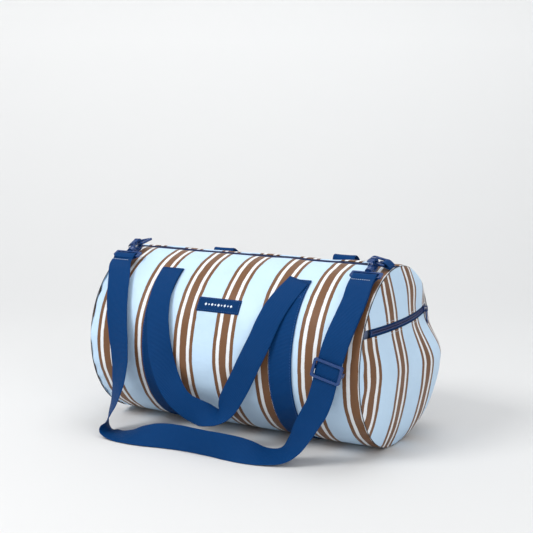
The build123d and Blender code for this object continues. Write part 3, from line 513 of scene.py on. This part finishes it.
def end_point(side, y, z, lower):
    """A point of an end panel: a filled dome, which on the right hangs slack either side of the zip."""
    rise = min(hypot(y, z - AXIS), RADIUS)
    depth = dome_depth(DOME, rise)
    share = rise / RADIUS
    rim = smoothstep(RADIUS - rise, 0.0, 0.03)
    angle = degrees(atan2(-y, z - AXIS))
    near = exp(-(RADIUS - rise) / 0.013)
    slack = 0.0020 * noise.noise(Vector((y * 11, z * 9, 5.0 * side))) * rim
    slack += 0.0009 * noise.noise(Vector((y * 34, z * 26, 2.0 + side))) * rim
    pucker = sin(radians(angle) * 15 + 1.7 * sin(radians(angle) * 4))
    slack += near * 0.0013 * pucker * smoothstep(RADIUS - rise, 0.0, 0.006)
    if side > 0:
        drop = POCKET_Z - z if lower else z - POCKET_Z
        away = smoothstep(drop, POCKET_ZIP_HALF, 0.072 if lower else 0.05)
        slack *= smoothstep(drop, POCKET_ZIP_HALF, 0.03)
        rear = smoothstep(y, -0.04, 0.105)
        if lower:
            depth += (0.009 + 0.004 * rear) * away * max(0.0, 1 - share**2.6) ** 0.75
            depth += 0.019 * rear * away * max(0.0, 1 - share**7) ** 0.5
        else:
            depth += 0.009 * rear * away * max(0.0, 1 - share**7) ** 0.5
    else:
        depth += 0.006 * max(0.0, 1 - share**2) ** 0.8
    return Vector((side * (SEAM + depth + slack), y, z))


def end_sheet(name, side, low, high, material, stands_for, columns=120, rows=90):
    """One panel of an end, between two heights, as a grid squeezed into the round."""
    points, uvs = [], []
    reach = RADIUS - 0.0012
    for i in range(rows):
        z = low + (high - low) * i / (rows - 1)
        half = sqrt(max(1e-9, reach**2 - (z - AXIS) ** 2))
        for j in range(columns):
            share = -1 + 2 * j / (columns - 1)
            y = half * sin(share * pi / 2)
            place = end_point(side, y, z, low < POCKET_Z - 0.01)
            points.append(place)
            uvs.append((y, z))
    faces = grid_faces(rows, columns)
    if side < 0:
        faces = [tuple(reversed(f)) for f in faces]
    piece = mesh_piece(name, points, faces, material, "bag", uvs, stands_for=stands_for,
                       slot="striped_fabric")
    return thicken(piece, 0.001, -1.0)


TOP = AXIS + RADIUS - 0.0016
END_BOTTOM = BOTTOM + 0.0004
end_sheet("pocket_cloth_lower", 1, END_BOTTOM, POCKET_Z - POCKET_ZIP_HALF, END_LOWER,
          ("pocket_panel_lower",), 130, 110)
end_sheet("pocket_cloth_upper", 1, POCKET_Z + POCKET_ZIP_HALF, TOP, END_UPPER,
          ("pocket_panel_upper",), 130, 60)
end_sheet("end_cloth_left", -1, END_BOTTOM, TOP, END_LEFT, ("end_panel_left",), 120, 130)


SIDES = ((-1, "left"), (1, "right"))


def seam_tape(side, word, turns=180):
    """The bound edge of an end seam, inside the bag: a closed band of soft tape."""
    x, radius, width, thick = side * (SEAM - 0.007), RADIUS - 0.0042, 0.011, 0.0014
    profile = [(-1, 0.35), (-0.8, 1), (0, 1.15), (0.8, 1), (1, 0.35), (0.8, -1), (0, -1.15), (-0.8, -1)]
    points, uvs = [], []
    for i in range(turns):
        angle = 360 * i / turns
        for across, lift in profile:
            place = barrel(x + across * width / 2, radius + lift * thick / 2, angle)
            place.z = max(place.z, BOTTOM + 0.0016 + thick / 2 + lift * thick / 2)
            points.append(place)
            uvs.append((across * width / 2, radians(angle) * radius))
    faces = grid_faces(turns, len(profile), True, True)
    mesh_piece(f"seam_tape_{word}", points, faces, BINDING, "bag", uvs,
               stands_for=(f"seam_binding_{word}",), slot="binding")


def end_seam(side, word, turns=240, ribs=6):
    """The line of the closing seam, sunk between the body and the end, coloured near black as painted
    shade in its groove.
    """
    x, depth, half_width, half_depth = side * (SEAM + 0.00035), 0.0009, 0.0007, 0.0006
    points, uvs = [], []
    for i in range(turns):
        angle = 360 * i / turns
        for k in range(ribs):
            turn = 2 * pi * k / ribs
            radius = RADIUS - depth + half_depth * sin(turn)
            place = barrel(x + side * half_width * cos(turn), radius, angle)
            place.z = max(place.z, BOTTOM + 0.0002 + half_depth * (1 - sin(turn)))
            points.append(place)
            uvs.append((k * 0.001, radians(angle) * RADIUS))
    mesh_piece(f"end_seam_{word}", points, grid_faces(turns, ribs, True, True), SEAM_PAINTED_SHADE, "bag", uvs,
               slot="binding")


def pocket_wall(rows=40, columns=60):
    """The lining wall behind the end pocket."""
    points, uvs = [], []
    for i in range(rows):
        z = BOTTOM + 0.004 + (2 * RADIUS - 0.014) * i / (rows - 1)
        half = sqrt(max(1e-9, (RADIUS - 0.003) ** 2 - (z - AXIS) ** 2))
        for j in range(columns):
            y = half * sin((-1 + 2 * j / (columns - 1)) * pi / 2)
            bow = dome_depth(0.004, min(RADIUS, hypot(y, z - AXIS)))
            sag = 0.0008 * noise.noise(Vector((y * 25, z * 25, 7)))
            x = SEAM - 0.0012 + bow * 0.8 + sag * smoothstep(half - abs(y), 0, 0.02)
            points.append(Vector((x, y, z)))
            uvs.append((y, z))
    wall = mesh_piece("pocket_inner_wall", points, grid_faces(rows, columns), LINING, "bag", uvs,
                      stands_for=("end_wall_right",), slot="plain_fabric")
    thicken(wall, 0.0006, -1.0)


for side, word in SIDES:
    seam_tape(side, word)
for side, word in SIDES:
    end_seam(side, word)
pocket_wall()


# ---- carrying bands -----------------------------------------------------------------------------
BAND_TOP = RADIUS + BAND_GAP + THICK


def band(x, word, turns=220):
    """A carrying band, sewn round the barrel from the front anchor under the bag to the rear one."""
    first = ANCHOR - 1.2
    outer = [(s, THICK * (1 - max(0.0, abs(s) - 0.93) * 3)) for s in PROFILE]
    section = outer + [(s, 0.0) for s, _ in reversed(outer)]
    points, uvs = [], []
    for i in range(turns):
        angle = first + (360 - 2 * first) * i / (turns - 1)
        for share, lift in section:
            ripple = 0.00018 * sin(radians(angle) * 31 + share * 2) if lift > 0 else 0.0
            place = barrel(x + share * WEBBING / 2, RADIUS + BAND_GAP + lift + ripple, angle)
            place.z = max(place.z, 0.0001 if lift > 0 else THICK - 0.0001)
            points.append(place)
            uvs.append((share * WEBBING / 2, radians(angle) * RADIUS))
    mesh_piece(f"band_{word}", points, strip_faces(turns, len(section)), STRAPPING, "bag", uvs,
               stands_for=(f"webbing_band_{word}",), slot="webbing")


def band_sewing(x):
    """The lines of sewing on a band: both edges, and a crossed box at each anchor."""
    shares = (-1, -0.5, 0, 0.5, 1)
    runs = []
    for edge in (-SEWN_EDGE, SEWN_EDGE):
        runs.append(([barrel(x + edge, BAND_TOP, a) for a in range(36, 160, 2)], outward))
        runs.append(([barrel(x + edge, BAND_TOP, a) for a in range(200, 325, 2)], outward))
    box_start, box_end = ANCHOR + 3.0, ANCHOR + 13.0
    half_box = (box_end - box_start) / 2
    for front in (1, -1):
        for a in (box_start, box_end):
            runs.append(([barrel(x + k * SEWN_ACROSS, BAND_TOP, front * a) for k in shares], outward))
        for sign in (1, -1):
            line = [barrel(x + sign * k * SEWN_ACROSS, BAND_TOP, front * (box_start + (k + 1) * half_box))
                    for k in shares]
            runs.append((line, outward))
    return runs


for x, word in zip(BANDS, ("left", "right")):
    band(x, word)
stitches("band_stitching", [run for x in BANDS for run in band_sewing(x)], "bag", THREAD)


# ---- handles ------------------------------------------------------------------------------------
HANDLE_RIDE = 3.4  # mm over the barrel's radius that a handle lies at


def mm(*values):
    """A point given in mm."""
    return Vector(values) * MM


def lap(x, lift, angle):
    """A point over the barrel: x, and the height over the height a handle lies at, in mm."""
    return barrel(x * MM, RADIUS + (HANDLE_RIDE + lift) * MM, angle)


HINGE = 0.2
LEFT_X, RIGHT_X = BANDS[0] / MM, BANDS[1] / MM
FRONT_ROUTE = [
    lap(LEFT_X, HINGE, ANCHOR), lap(LEFT_X, 1.4, 45), lap(-113, 2.6, 57), lap(-107, 3.8, 69),
    lap(-100, 6, 81), mm(-91, -152, 126), mm(-80, -154, 99), mm(-66, -156, 77), mm(-46, -157, 61),
    mm(-20, -157, 53),
    mm(2, -156, 48), mm(13, -155, 50), mm(22, -153, 61), mm(33, -152.5, 80), mm(50, -152, 110),
    mm(65, -152, 142), lap(79, 6, 76), lap(88, 4.2, 61), lap(100, 2.2, 46), lap(RIGHT_X, HINGE, ANCHOR),
]
FRONT_WIDTHS = [
    (1, 0, 0), (1, 0, 0), (1, 0, 0), (1, 0.04, 0), (0.97, 0.2, 0.1), (0.86, 0.45, 0.25), (0.72, 0.5, 0.45),
    (0.6, 0.3, 0.75), (0.42, 0.1, 0.92), (0.15, 0.3, 0.95), (-0.15, 0.9, 0.55), (-0.5, 0.9, 0.3),
    (-0.82, 0.4, 0.45), (-0.93, 0.05, 0.38), (-0.93, 0, 0.35), (-0.95, 0, 0.3), (-1, 0, 0.2), (-1, 0, 0.2),
    (-1, 0, 0.1), (-1, 0, 0),
]
REAR_ROUTE = [
    lap(LEFT_X, HINGE, -ANCHOR), lap(LEFT_X, 13, -29), lap(LEFT_X + 1, 17, -39), lap(LEFT_X + 5, 15, -62),
    mm(-104, 154, 142), mm(-92, 154, 106), mm(-68, 154, 76), mm(-30, 154, 58), mm(10, 154, 56),
    mm(48, 154, 70), mm(74, 154, 98), mm(91, 154, 134),
    lap(RIGHT_X - 6, 15, -63), lap(RIGHT_X - 1, 25, -40), lap(RIGHT_X, 17, -29),
    lap(RIGHT_X, HINGE, -ANCHOR),
]
REAR_WIDTHS = [
    (1, 0, 0), (1, 0, 0), (1, 0, 0), (1, 0, 0.1), (0.95, 0, 0.3), (0.85, 0, 0.5), (0.55, 0, 0.85),
    (0.15, 0, 1), (-0.15, 0, 1), (-0.55, 0, 0.85), (-0.85, 0, 0.5), (-0.95, 0, 0.3), (-1, 0, 0.1),
    (-1, 0, 0), (-1, 0, 0), (-1, 0, 0),
]


def handle(word, route, widths):
    """A carrying loop, from its sewn end at one anchor round to the other; it rides on no body."""
    piece, _ = ribbon(f"handle_webbing_{word}", route, widths, None, stands_for=(f"handle_{word}",),
                      slot="webbing", cup=0.3)
    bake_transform(piece)


handle("front", FRONT_ROUTE, FRONT_WIDTHS)
handle("rear", REAR_ROUTE, REAR_WIDTHS)


# ---- shoulder strap -----------------------------------------------------------------------------
# Each hook's swivel, the direction from it down along the strap, and the direction off the strap's face.
HOOK = {-1: Vector(JOINTS["hook_left_swivel"]["pos_m"]), 1: Vector(JOINTS["hook_right_swivel"]["pos_m"])}
DOWN = Vector(JOINTS["hook_left_swivel"]["axis"])
UP = Vector((0, DOWN.z, -DOWN.y))
STRAP_START = 0.046
LAYER = 0.003  # from one layer of webbing to the next, middle to middle
left_end = HOOK[-1] + DOWN * STRAP_START
right_end = HOOK[1] + DOWN * STRAP_START + UP * (LAYER / 2)


def over(x, radius, angle):
    """A point round the barrel's axis, with x and the radius in mm."""
    return barrel(x * MM, radius * MM, angle)


STRAP_ROUTE = [
    left_end, left_end + DOWN * 0.012, over(-201, 152, 45), over(-190, 151, 59), over(-180, 152, 73),
    mm(-171, -154, 148), mm(-167, -157, 116), mm(-168, -161, 84), mm(-172, -166, 55), mm(-180, -172, 30),
    mm(-182, -179, 9), mm(-164, -183, 3.8), mm(-143, -186, 4.8), mm(-110, -189, 12.4), mm(-73, -187, 17.8),
    mm(-36, -187, 19.7), mm(4, -190, 20), mm(42, -190, 19.4), mm(76, -183, 15.2), mm(106, -173, 8),
    mm(132, -165, 12.5), mm(147, -160, 31), mm(157, -159, 49.5), mm(169, -158, 71), mm(183, -157, 94),
    mm(193, -154, 138), mm(204, -151.7, 182), over(210, 152, 60), over(216, 152.5, 47),
    right_end + DOWN * 0.012, right_end,
]
STRAP_WIDTHS = [
    (-1, 0, 0), (-1, 0, 0), (-1, 0, 0.1), (-1, 0, 0.1), (-1, 0.05, 0.05), (-1, 0.1, 0), (-0.97, 0.24, 0),
    (-0.9, 0.42, 0), (-0.75, 0.65, 0), (-0.58, 0.8, 0), (-0.3, 0.95, 0), (0, 1, 0.05), (0, 1, 0.18),
    (0, 0.8, 0.55), (0, 0.5, 0.87), (0, 0.2, 0.98), (0, 0.05, 1), (0, 0.2, 0.97), (-0.1, 0.65, 0.75),
    (-0.3, 0.9, 0.32), (-0.6, 0.8, 0.3), (-0.8, 0.5, 0.3), (-0.9, 0.3, 0.3), (-0.95, 0.1, 0.3),
    (-1, 0, 0.3), (-1, 0, 0.3), (-1, 0, 0.3), (-1, 0, 0.1), (-1, 0, 0), (-1, 0, 0), (-1, 0, 0),
]
strap, strap_line = ribbon("strap_webbing", STRAP_ROUTE, STRAP_WIDTHS, "bag",
                           stands_for=("shoulder_strap",), slot="webbing", floor=0.0003, steps=10)

# The straight run that the adjuster slides on, and the layer that comes back behind it.
run_start, run_middle, run_end = STRAP_ROUTE[24:27]
run_heading = (run_end - run_start).normalized()
adjuster_spot = run_middle + run_heading * 0.007
across_run = Vector((-1, 0, 0.3))
across_run = (across_run - run_heading * across_run.dot(run_heading)).normalized()
adjuster_out = run_heading.cross(across_run)
return_start = adjuster_spot + run_heading * 0.0185 - adjuster_out * LAYER
strap_back, _ = ribbon(
    "strap_return_webbing",
    [return_start, run_end - adjuster_out * LAYER, over(210, 149, 60), over(216, 149.5, 47),
     right_end + DOWN * 0.012 - UP * LAYER, right_end - UP * LAYER],
    STRAP_WIDTHS[25:], "bag", stands_for=("strap_return",), slot="webbing")


def fold_route(origin, along, lift, points):
    """A fold's route, from points in mm along the webbing and off its face."""
    return [origin + along * (a * MM) + lift * (b * MM) for a, b in points]


def end_fold(side, word):
    """The strap's sewn end, turned round a hook's loop."""
    tail = 0.9 if side < 0 else 1.5
    loop = [(46.5, tail), (42, 2.9), (38, 3.75), (34.4, 2.8), (34.0, 0), (34.4, -2.8), (38, -3.75),
            (42, -2.9), (46.5, -tail)]
    piece, _ = ribbon(f"strap_fold_{word}_webbing", fold_route(HOOK[side], DOWN, UP, loop),
                      [(1, 0, 0)] * len(loop), "bag", stands_for=(f"strap_fold_{word}",), slot="webbing")
    return piece


def adjuster_fold():
    """The strap's other end, sewn round the adjuster's middle bar."""
    lean = 1.6
    loop = [(12, lean + 0.9), (6, 3.6), (1, 3.5), (-3.1, 2.3), (-3.4, 0), (-3.1, -2.3), (1, -3.5),
            (6, -1.6), (12, lean - 0.9)]
    route = fold_route(adjuster_spot - adjuster_out * 0.0052, run_heading, adjuster_out, loop)
    ribbon("adjuster_fold_webbing", route, [across_run] * len(loop), "adjuster",
           stands_for=("adjuster_fold",), slot="webbing")


def fold_sewing(end, along):
    """The line of sewing across the strap near one of its ends."""
    spot = end + DOWN * along + UP * 0.0008
    return [spot + Vector((k * 0.0165, 0, 0)) for k in (-1, -0.4, 0.4, 1)], UP


folds = [end_fold(side, word) for side, word in SIDES]
adjuster_fold()
strap_sewing = stitches("strap_stitching", [fold_sewing(left_end, 0.006), fold_sewing(right_end, 0.004)],
                        "bag", PALE_THREAD, 0.0024, 0.0010)


# ---- ring tabs ----------------------------------------------------------------------------------
def ring_tab(side, word):
    """The short tab that is sewn to the bag and turned round a ring's straight bar."""
    tangent = Vector(JOINTS["ring_left_swing"]["axis"])
    out = Vector((0, tangent.z, -tangent.y))
    bar = Vector(JOINTS[f"ring_{word}_swing"]["pos_m"])
    loop = [(10.4, -6.6), (6, -5.4), (1, -3.5), (-3.3, -2.4), (-3.5, 0), (-3.3, 2.4), (0.5, 3.7),
            (4.6, 1.4), (8, -2.0), (10.4, -4.6)]
    route = fold_route(bar, Vector((side, 0, 0)), out, loop)
    ribbon(f"tab_{word}_webbing", route, [tangent] * len(loop), "bag", width=0.019, thick=0.0014,
           stands_for=(f"ring_tab_{word}",), slot="webbing")


for side, word in SIDES:
    ring_tab(side, word)


# ---- zips ---------------------------------------------------------------------------------------
X, Z = Vector((1, 0, 0)), Vector((0, 0, 1))


def zip_tape(name, word, spots, sign, half_width, stands_for):
    """One woven tape of a zip, a thin strip beside its middle line."""
    thick = 0.0007
    section = [(0.0008, 0.0), (0.003, 0.0001), (half_width * 0.6, 0.00005), (half_width, 0.0),
               (half_width, -thick), (half_width * 0.6, -thick), (0.003, -thick), (0.0008, -0.0006)]
    points, uvs, run = [], [], 0.0
    for i, (place, along, across, out) in enumerate(spots):
        run += (place - spots[i - 1][0]).length if i else 0.0
        for reach, lift in section:
            points.append(place + across * (sign * reach) + out * lift)
            uvs.append((reach, run))
    faces = grid_faces(len(spots), len(section), wrap_columns=True)
    faces = faces if sign > 0 else [tuple(reversed(f)) for f in faces]
    mesh_piece(f"{name}_tape_cloth_{word}", points, faces, TAPE, "bag", uvs, stands_for=stands_for,
               slot="zip_tape")


def coil_turn(points, faces, place, along, across, out, sign, lift):
    """One turn of a nylon coil, as a small bead that lies across the tape's edge."""
    sides = 6
    shape = ((0.00055, 0.35), (0.0009, 0.85), (0.0017, 1.0), (0.0024, 0.75), (0.0028, 0.2))
    base = len(points)
    for reach, size in shape:
        centre = place + across * reach + out * lift + along * (0.00022 * sign)
        for k in range(sides):
            turn = 2 * pi * k / sides
            points.append(centre + along * (cos(turn) * 0.00062 * size)
                          + out * (sin(turn) * 0.00085 * size))
    for m in range(len(shape) - 1):
        row = base + sides * m
        for k in range(sides):
            beside = (k + 1) % sides
            faces.append((row + k, row + beside, row + sides + beside, row + sides + k))
    faces.append(tuple(base + k for k in reversed(range(sides))))
    faces.append(tuple(base + sides * (len(shape) - 1) + k for k in range(sides)))


def zip_coil(name, word, spots, sign, pitch, lift, stands_for):
    """One side's coil, from near the first spot to near the last."""
    points, faces, travelled, due = [], [], 0.0, 0.004
    total = sum((b[0] - a[0]).length for a, b in zip(spots, spots[1:]))
    for a, b in zip(spots, spots[1:]):
        step = (b[0] - a[0]).length
        while due <= travelled + step and due < total - 0.006:
            place = a[0].lerp(b[0], (due - travelled) / step)
            coil_turn(points, faces, place, a[1], a[2] * sign, a[3], sign, lift)
            due += pitch
        travelled += step
    mesh_piece(f"{name}_coil_turns_{word}", points, faces, COIL, "bag", stands_for=stands_for,
               slot="zip_coil")


def zip_parts(name, spots, words, tape, coil, half_width, pitch, lift):
    """Both tapes and coils. Each spot is a place on the middle line, and its along, across and out."""
    for sign, word in zip((-1, 1), words):
        zip_tape(name, word, spots, sign, half_width, (f"{tape}_{word}",))
        zip_coil(name, word, spots, sign, pitch, lift, (f"{coil}_{word}",))


def main_zip_spots(count=60):
    low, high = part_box("zip_tape_front")
    length = high.x - low.x
    return [(Vector((low.x + length * i / count, 0, high.z)), X, Vector((0, 1, 0)), Z)
            for i in range(count + 1)]


def pocket_zip_spots(count=80):
    """The pocket zip lies on the end's dome, along the level arc at its height."""
    ball = (RADIUS**2 + DOME**2) / (2 * DOME)
    rise = POCKET_Z - AXIS
    arc = sqrt(ball**2 - rise**2)
    half_angle = asin(POCKET_ZIP_REACH / arc)
    tilt = asin(rise / ball)
    centre = Vector((SEAM + DOME - ball, 0, POCKET_Z))
    spots = []
    for i in range(count + 1):
        turn = -half_angle + 2 * half_angle * i / count
        flat = Vector((cos(turn), sin(turn), 0))
        out = flat * cos(tilt) + Z * sin(tilt)
        along = Vector((-sin(turn), cos(turn), 0))
        across = out.cross(along)
        spots.append((centre + flat * (arc - 0.0014), along, across * (1 if across.z > 0 else -1), out))
    return spots


def pocket_topstitch(offset, count=60):
    """A line of places along the cloth's folded edge, above or below the pocket zip."""
    half = POCKET_ZIP_REACH - 0.004
    return [end_point(1, -half + 2 * half * i / count, POCKET_Z + offset, offset < 0) + X * 0.0002
            for i in range(count + 1)]


POCKET_ZIP_REACH = 0.110
POCKET_TAPE_HALF = 0.0088
zip_parts("main_zip", main_zip_spots(), ("front", "rear"), "zip_tape", "zip_coil", 0.014, 0.0018, 0.0009)
zip_parts("pocket_zip", pocket_zip_spots(), ("lower", "upper"), "pocket_tape", "pocket_coil",
          POCKET_TAPE_HALF, 0.0016, 0.0007)
pocket_lines = [(pocket_topstitch(offset), X) for offset in (-POCKET_TAPE_HALF, POCKET_TAPE_HALF)]
stitches("pocket_topstitch", pocket_lines, "bag", PALE_THREAD, 0.0026, 0.0011, 0.0003, 0.0002,
         "striped_fabric")


# ---- label --------------------------------------------------------------------------------------
LABEL_HALF_ANGLE = degrees(LABEL_HALF_HEIGHT / RADIUS)
LABEL_FACE = 0.0014


def label_cloth(rows=26, columns=70):
    """The woven patch, slightly padded and pressed thin round its edge."""
    points, uvs = [], []
    for i in range(rows):
        for j in range(columns):
            su, sv = -1 + 2 * j / (columns - 1), -1 + 2 * i / (rows - 1)
            corner = max(abs(su), abs(sv))
            lift = 0.0011 + 0.0004 * (1 - corner**8) - 0.0005 * smoothstep(corner, 0.93, 1.0)
            x = LABEL_MID.x + su * LABEL_HALF_LENGTH
            lift += 0.00012 * noise.noise(Vector((x * 60, sv * 2, 0)))
            points.append(barrel(x, RADIUS + lift, LABEL_ANGLE + sv * LABEL_HALF_ANGLE))
            uvs.append((x, radians(sv * LABEL_HALF_ANGLE) * RADIUS))
    piece = mesh_piece("label_cloth", points, grid_faces(rows, columns), LABEL, "bag", uvs,
                       stands_for=("label_patch",), slot="label")
    thicken(piece, 0.0006, 1.0)


def label_motif():
    """A plain row of lozenges in pale thread, large and small in turn."""
    points, faces = [], []
    for k in range(-4, 5):
        x, size = LABEL_MID.x + k * 0.0056, 0.0016 if k % 2 else 0.0024
        base = len(points)
        for lift, scale in ((LABEL_FACE, 1.0), (0.00185, 0.72)):
            for dx, dy in ((-1, 0), (0, -1), (1, 0), (0, 1)):
                rise = degrees(dy * size * 1.15 * scale / RADIUS)
                points.append(barrel(x + dx * size * scale, RADIUS + lift, LABEL_ANGLE + rise))
        faces += [(base + i, base + (i + 1) % 4, base + 4 + (i + 1) % 4, base + 4 + i) for i in range(4)]
        faces.append((base + 4, base + 5, base + 6, base + 7))
    mesh_piece("label_motif", points, faces, PALE_THREAD, "bag", slot="label", smooth=False)


def label_sewing(long=16, short=6):
    """The line of sewing round the patch, just inside its edge."""
    lower = [(-1 + 2 * k / long, -1) for k in range(long + 1)]
    right = [(1, -1 + 2 * k / short) for k in range(1, short + 1)]
    upper = [(1 - 2 * k / long, 1) for k in range(1, long + 1)]
    left = [(-1, 1 - 2 * k / short) for k in range(1, short + 1)]
    half_length, half_angle = LABEL_HALF_LENGTH - 0.0024, LABEL_HALF_ANGLE - 1.0
    line = [barrel(LABEL_MID.x + su * half_length, RADIUS + LABEL_FACE, LABEL_ANGLE + sv * half_angle)
            for su, sv in lower + right + upper + left]
    stitches("label_stitching", [(line, outward)], "bag", THREAD, 0.0022, 0.0010, slot="label")


label_cloth()
label_motif()
label_sewing()


# ---- hardware -----------------------------------------------------------------------------------
MOULDED = ("strap_adjuster", "ring_left", "ring_right")
ZIP_METAL = ("zip_slider", "zip_pull", "pocket_slider", "pocket_pull", "zip_stops", "pocket_stops")


def finish_hardware(node, material):
    """A hard CAD node keeps its shape, and gets its material and slightly rounded edges."""
    node.data.materials.clear()
    node.data.materials.append(material)
    bevel = node.modifiers.new("edges", "BEVEL")
    bevel.width = 0.0005
    bevel.segments = 2
    bevel.limit_method = "ANGLE"
    bevel.angle_limit = radians(38)


for name, node in NODES.items():
    if name in MOULDED or name.startswith("hook_"):
        finish_hardware(node, HARDWARE)
    elif name in ZIP_METAL:
        finish_hardware(node, METAL)


# ---- floor, light and camera --------------------------------------------------------------------
BEARING, PITCH = radians(28.765), radians(9.323)  # the camera's, round the object and above the level


def studio_paper():
    s = Shader("studio_paper", (0.7, 0.7, 0.7), 0.9, Specular_IOR_Level=0.1)
    _, _, place = s.coords()
    split = s.node("SeparateXYZ")
    s.join(place, split.inputs[0])
    # The one sheet of paper is painted darker on the floor and paler up the curve: painted light, for how
    # light falls on it.
    height = s.math("MULTIPLY", split.outputs[2], 1.4, clamp=True)
    s.colour(s.mix(height, (0.71, 0.71, 0.712), (0.85, 0.85, 0.85)))
    s.bump((s.noise(place, 400.0), 0.00002))
    return s.material


def studio_sweep():
    """A floor of pale paper that curves up behind the bag."""
    curve_start, curve_radius, half_width = 0.9, 1.6, 12
    profile = [(-9.0, 0.0), (curve_start, 0.0)]
    for k in range(1, 13):
        turn = pi / 2 * k / 12
        profile.append((curve_start + curve_radius * sin(turn), curve_radius - curve_radius * cos(turn)))
    profile.append((curve_start + curve_radius, 9.0))
    away = Vector((-sin(BEARING), cos(BEARING), 0))
    sideways = Vector((away.y, -away.x, 0))
    points = [away * reach + sideways * edge + Z * z
              for reach, z in profile for edge in (-half_width, half_width)]
    faces = [(2 * i + 1, 2 * i, 2 * i + 2, 2 * i + 3) for i in range(len(profile) - 1)]
    mesh = bpy.data.meshes.new("studio_sweep")
    mesh.from_pydata([tuple(p) for p in points], [], faces)
    for face in mesh.polygons:
        face.use_smooth = True
    mesh.materials.append(studio_paper())
    sweep = bpy.data.objects.new("studio_sweep", mesh)
    bpy.context.scene.collection.objects.link(sweep)


def area_light(name, place, aim, size, power, colour=(1, 1, 1)):
    lamp = bpy.data.lights.new(name, "AREA")
    lamp.shape = "DISK"
    lamp.size = size
    lamp.energy = power
    lamp.color = colour
    holder = bpy.data.objects.new(name, lamp)
    bpy.context.scene.collection.objects.link(holder)
    holder.location = place
    holder.rotation_mode = "QUATERNION"
    holder.rotation_quaternion = (Vector(aim) - Vector(place)).to_track_quat("-Z", "Y")


def studio_world():
    world = bpy.context.scene.world or bpy.data.worlds.new("studio")
    bpy.context.scene.world = world
    world.use_nodes = True
    background = world.node_tree.nodes["Background"]
    background.inputs["Color"].default_value = (0.965, 0.985, 1.0, 1)
    background.inputs["Strength"].default_value = 0.68


def studio_camera():
    camera = bpy.data.cameras.new("camera")
    camera.lens = 72.73
    camera.sensor_width = 36.0
    camera.clip_start = 0.05
    camera.clip_end = 60
    holder = bpy.data.objects.new("camera", camera)
    bpy.context.scene.collection.objects.link(holder)
    back = Vector((sin(BEARING) * cos(PITCH), -cos(BEARING) * cos(PITCH), sin(PITCH)))
    holder.location = (0.8336, -1.4979, 0.5396)
    holder.rotation_mode = "QUATERNION"
    holder.rotation_quaternion = (-back).to_track_quat("-Z", "Y")
    bpy.context.scene.camera = holder


studio_sweep()
area_light("key", (-1.1, -1.9, 2.3), (0, 0, 0.12), 1.2, 48, (1.0, 0.99, 0.97))
area_light("fill", (2.4, -1.6, 1.5), (0, 0, 0.15), 1.8, 15, (1.0, 0.98, 0.95))
area_light("top", (0.2, 0.6, 2.8), (0, 0, 0.2), 1.6, 21, (0.96, 0.98, 1.0))

studio_world()
studio_camera()
bpy.context.scene.view_settings.view_transform = "Standard"
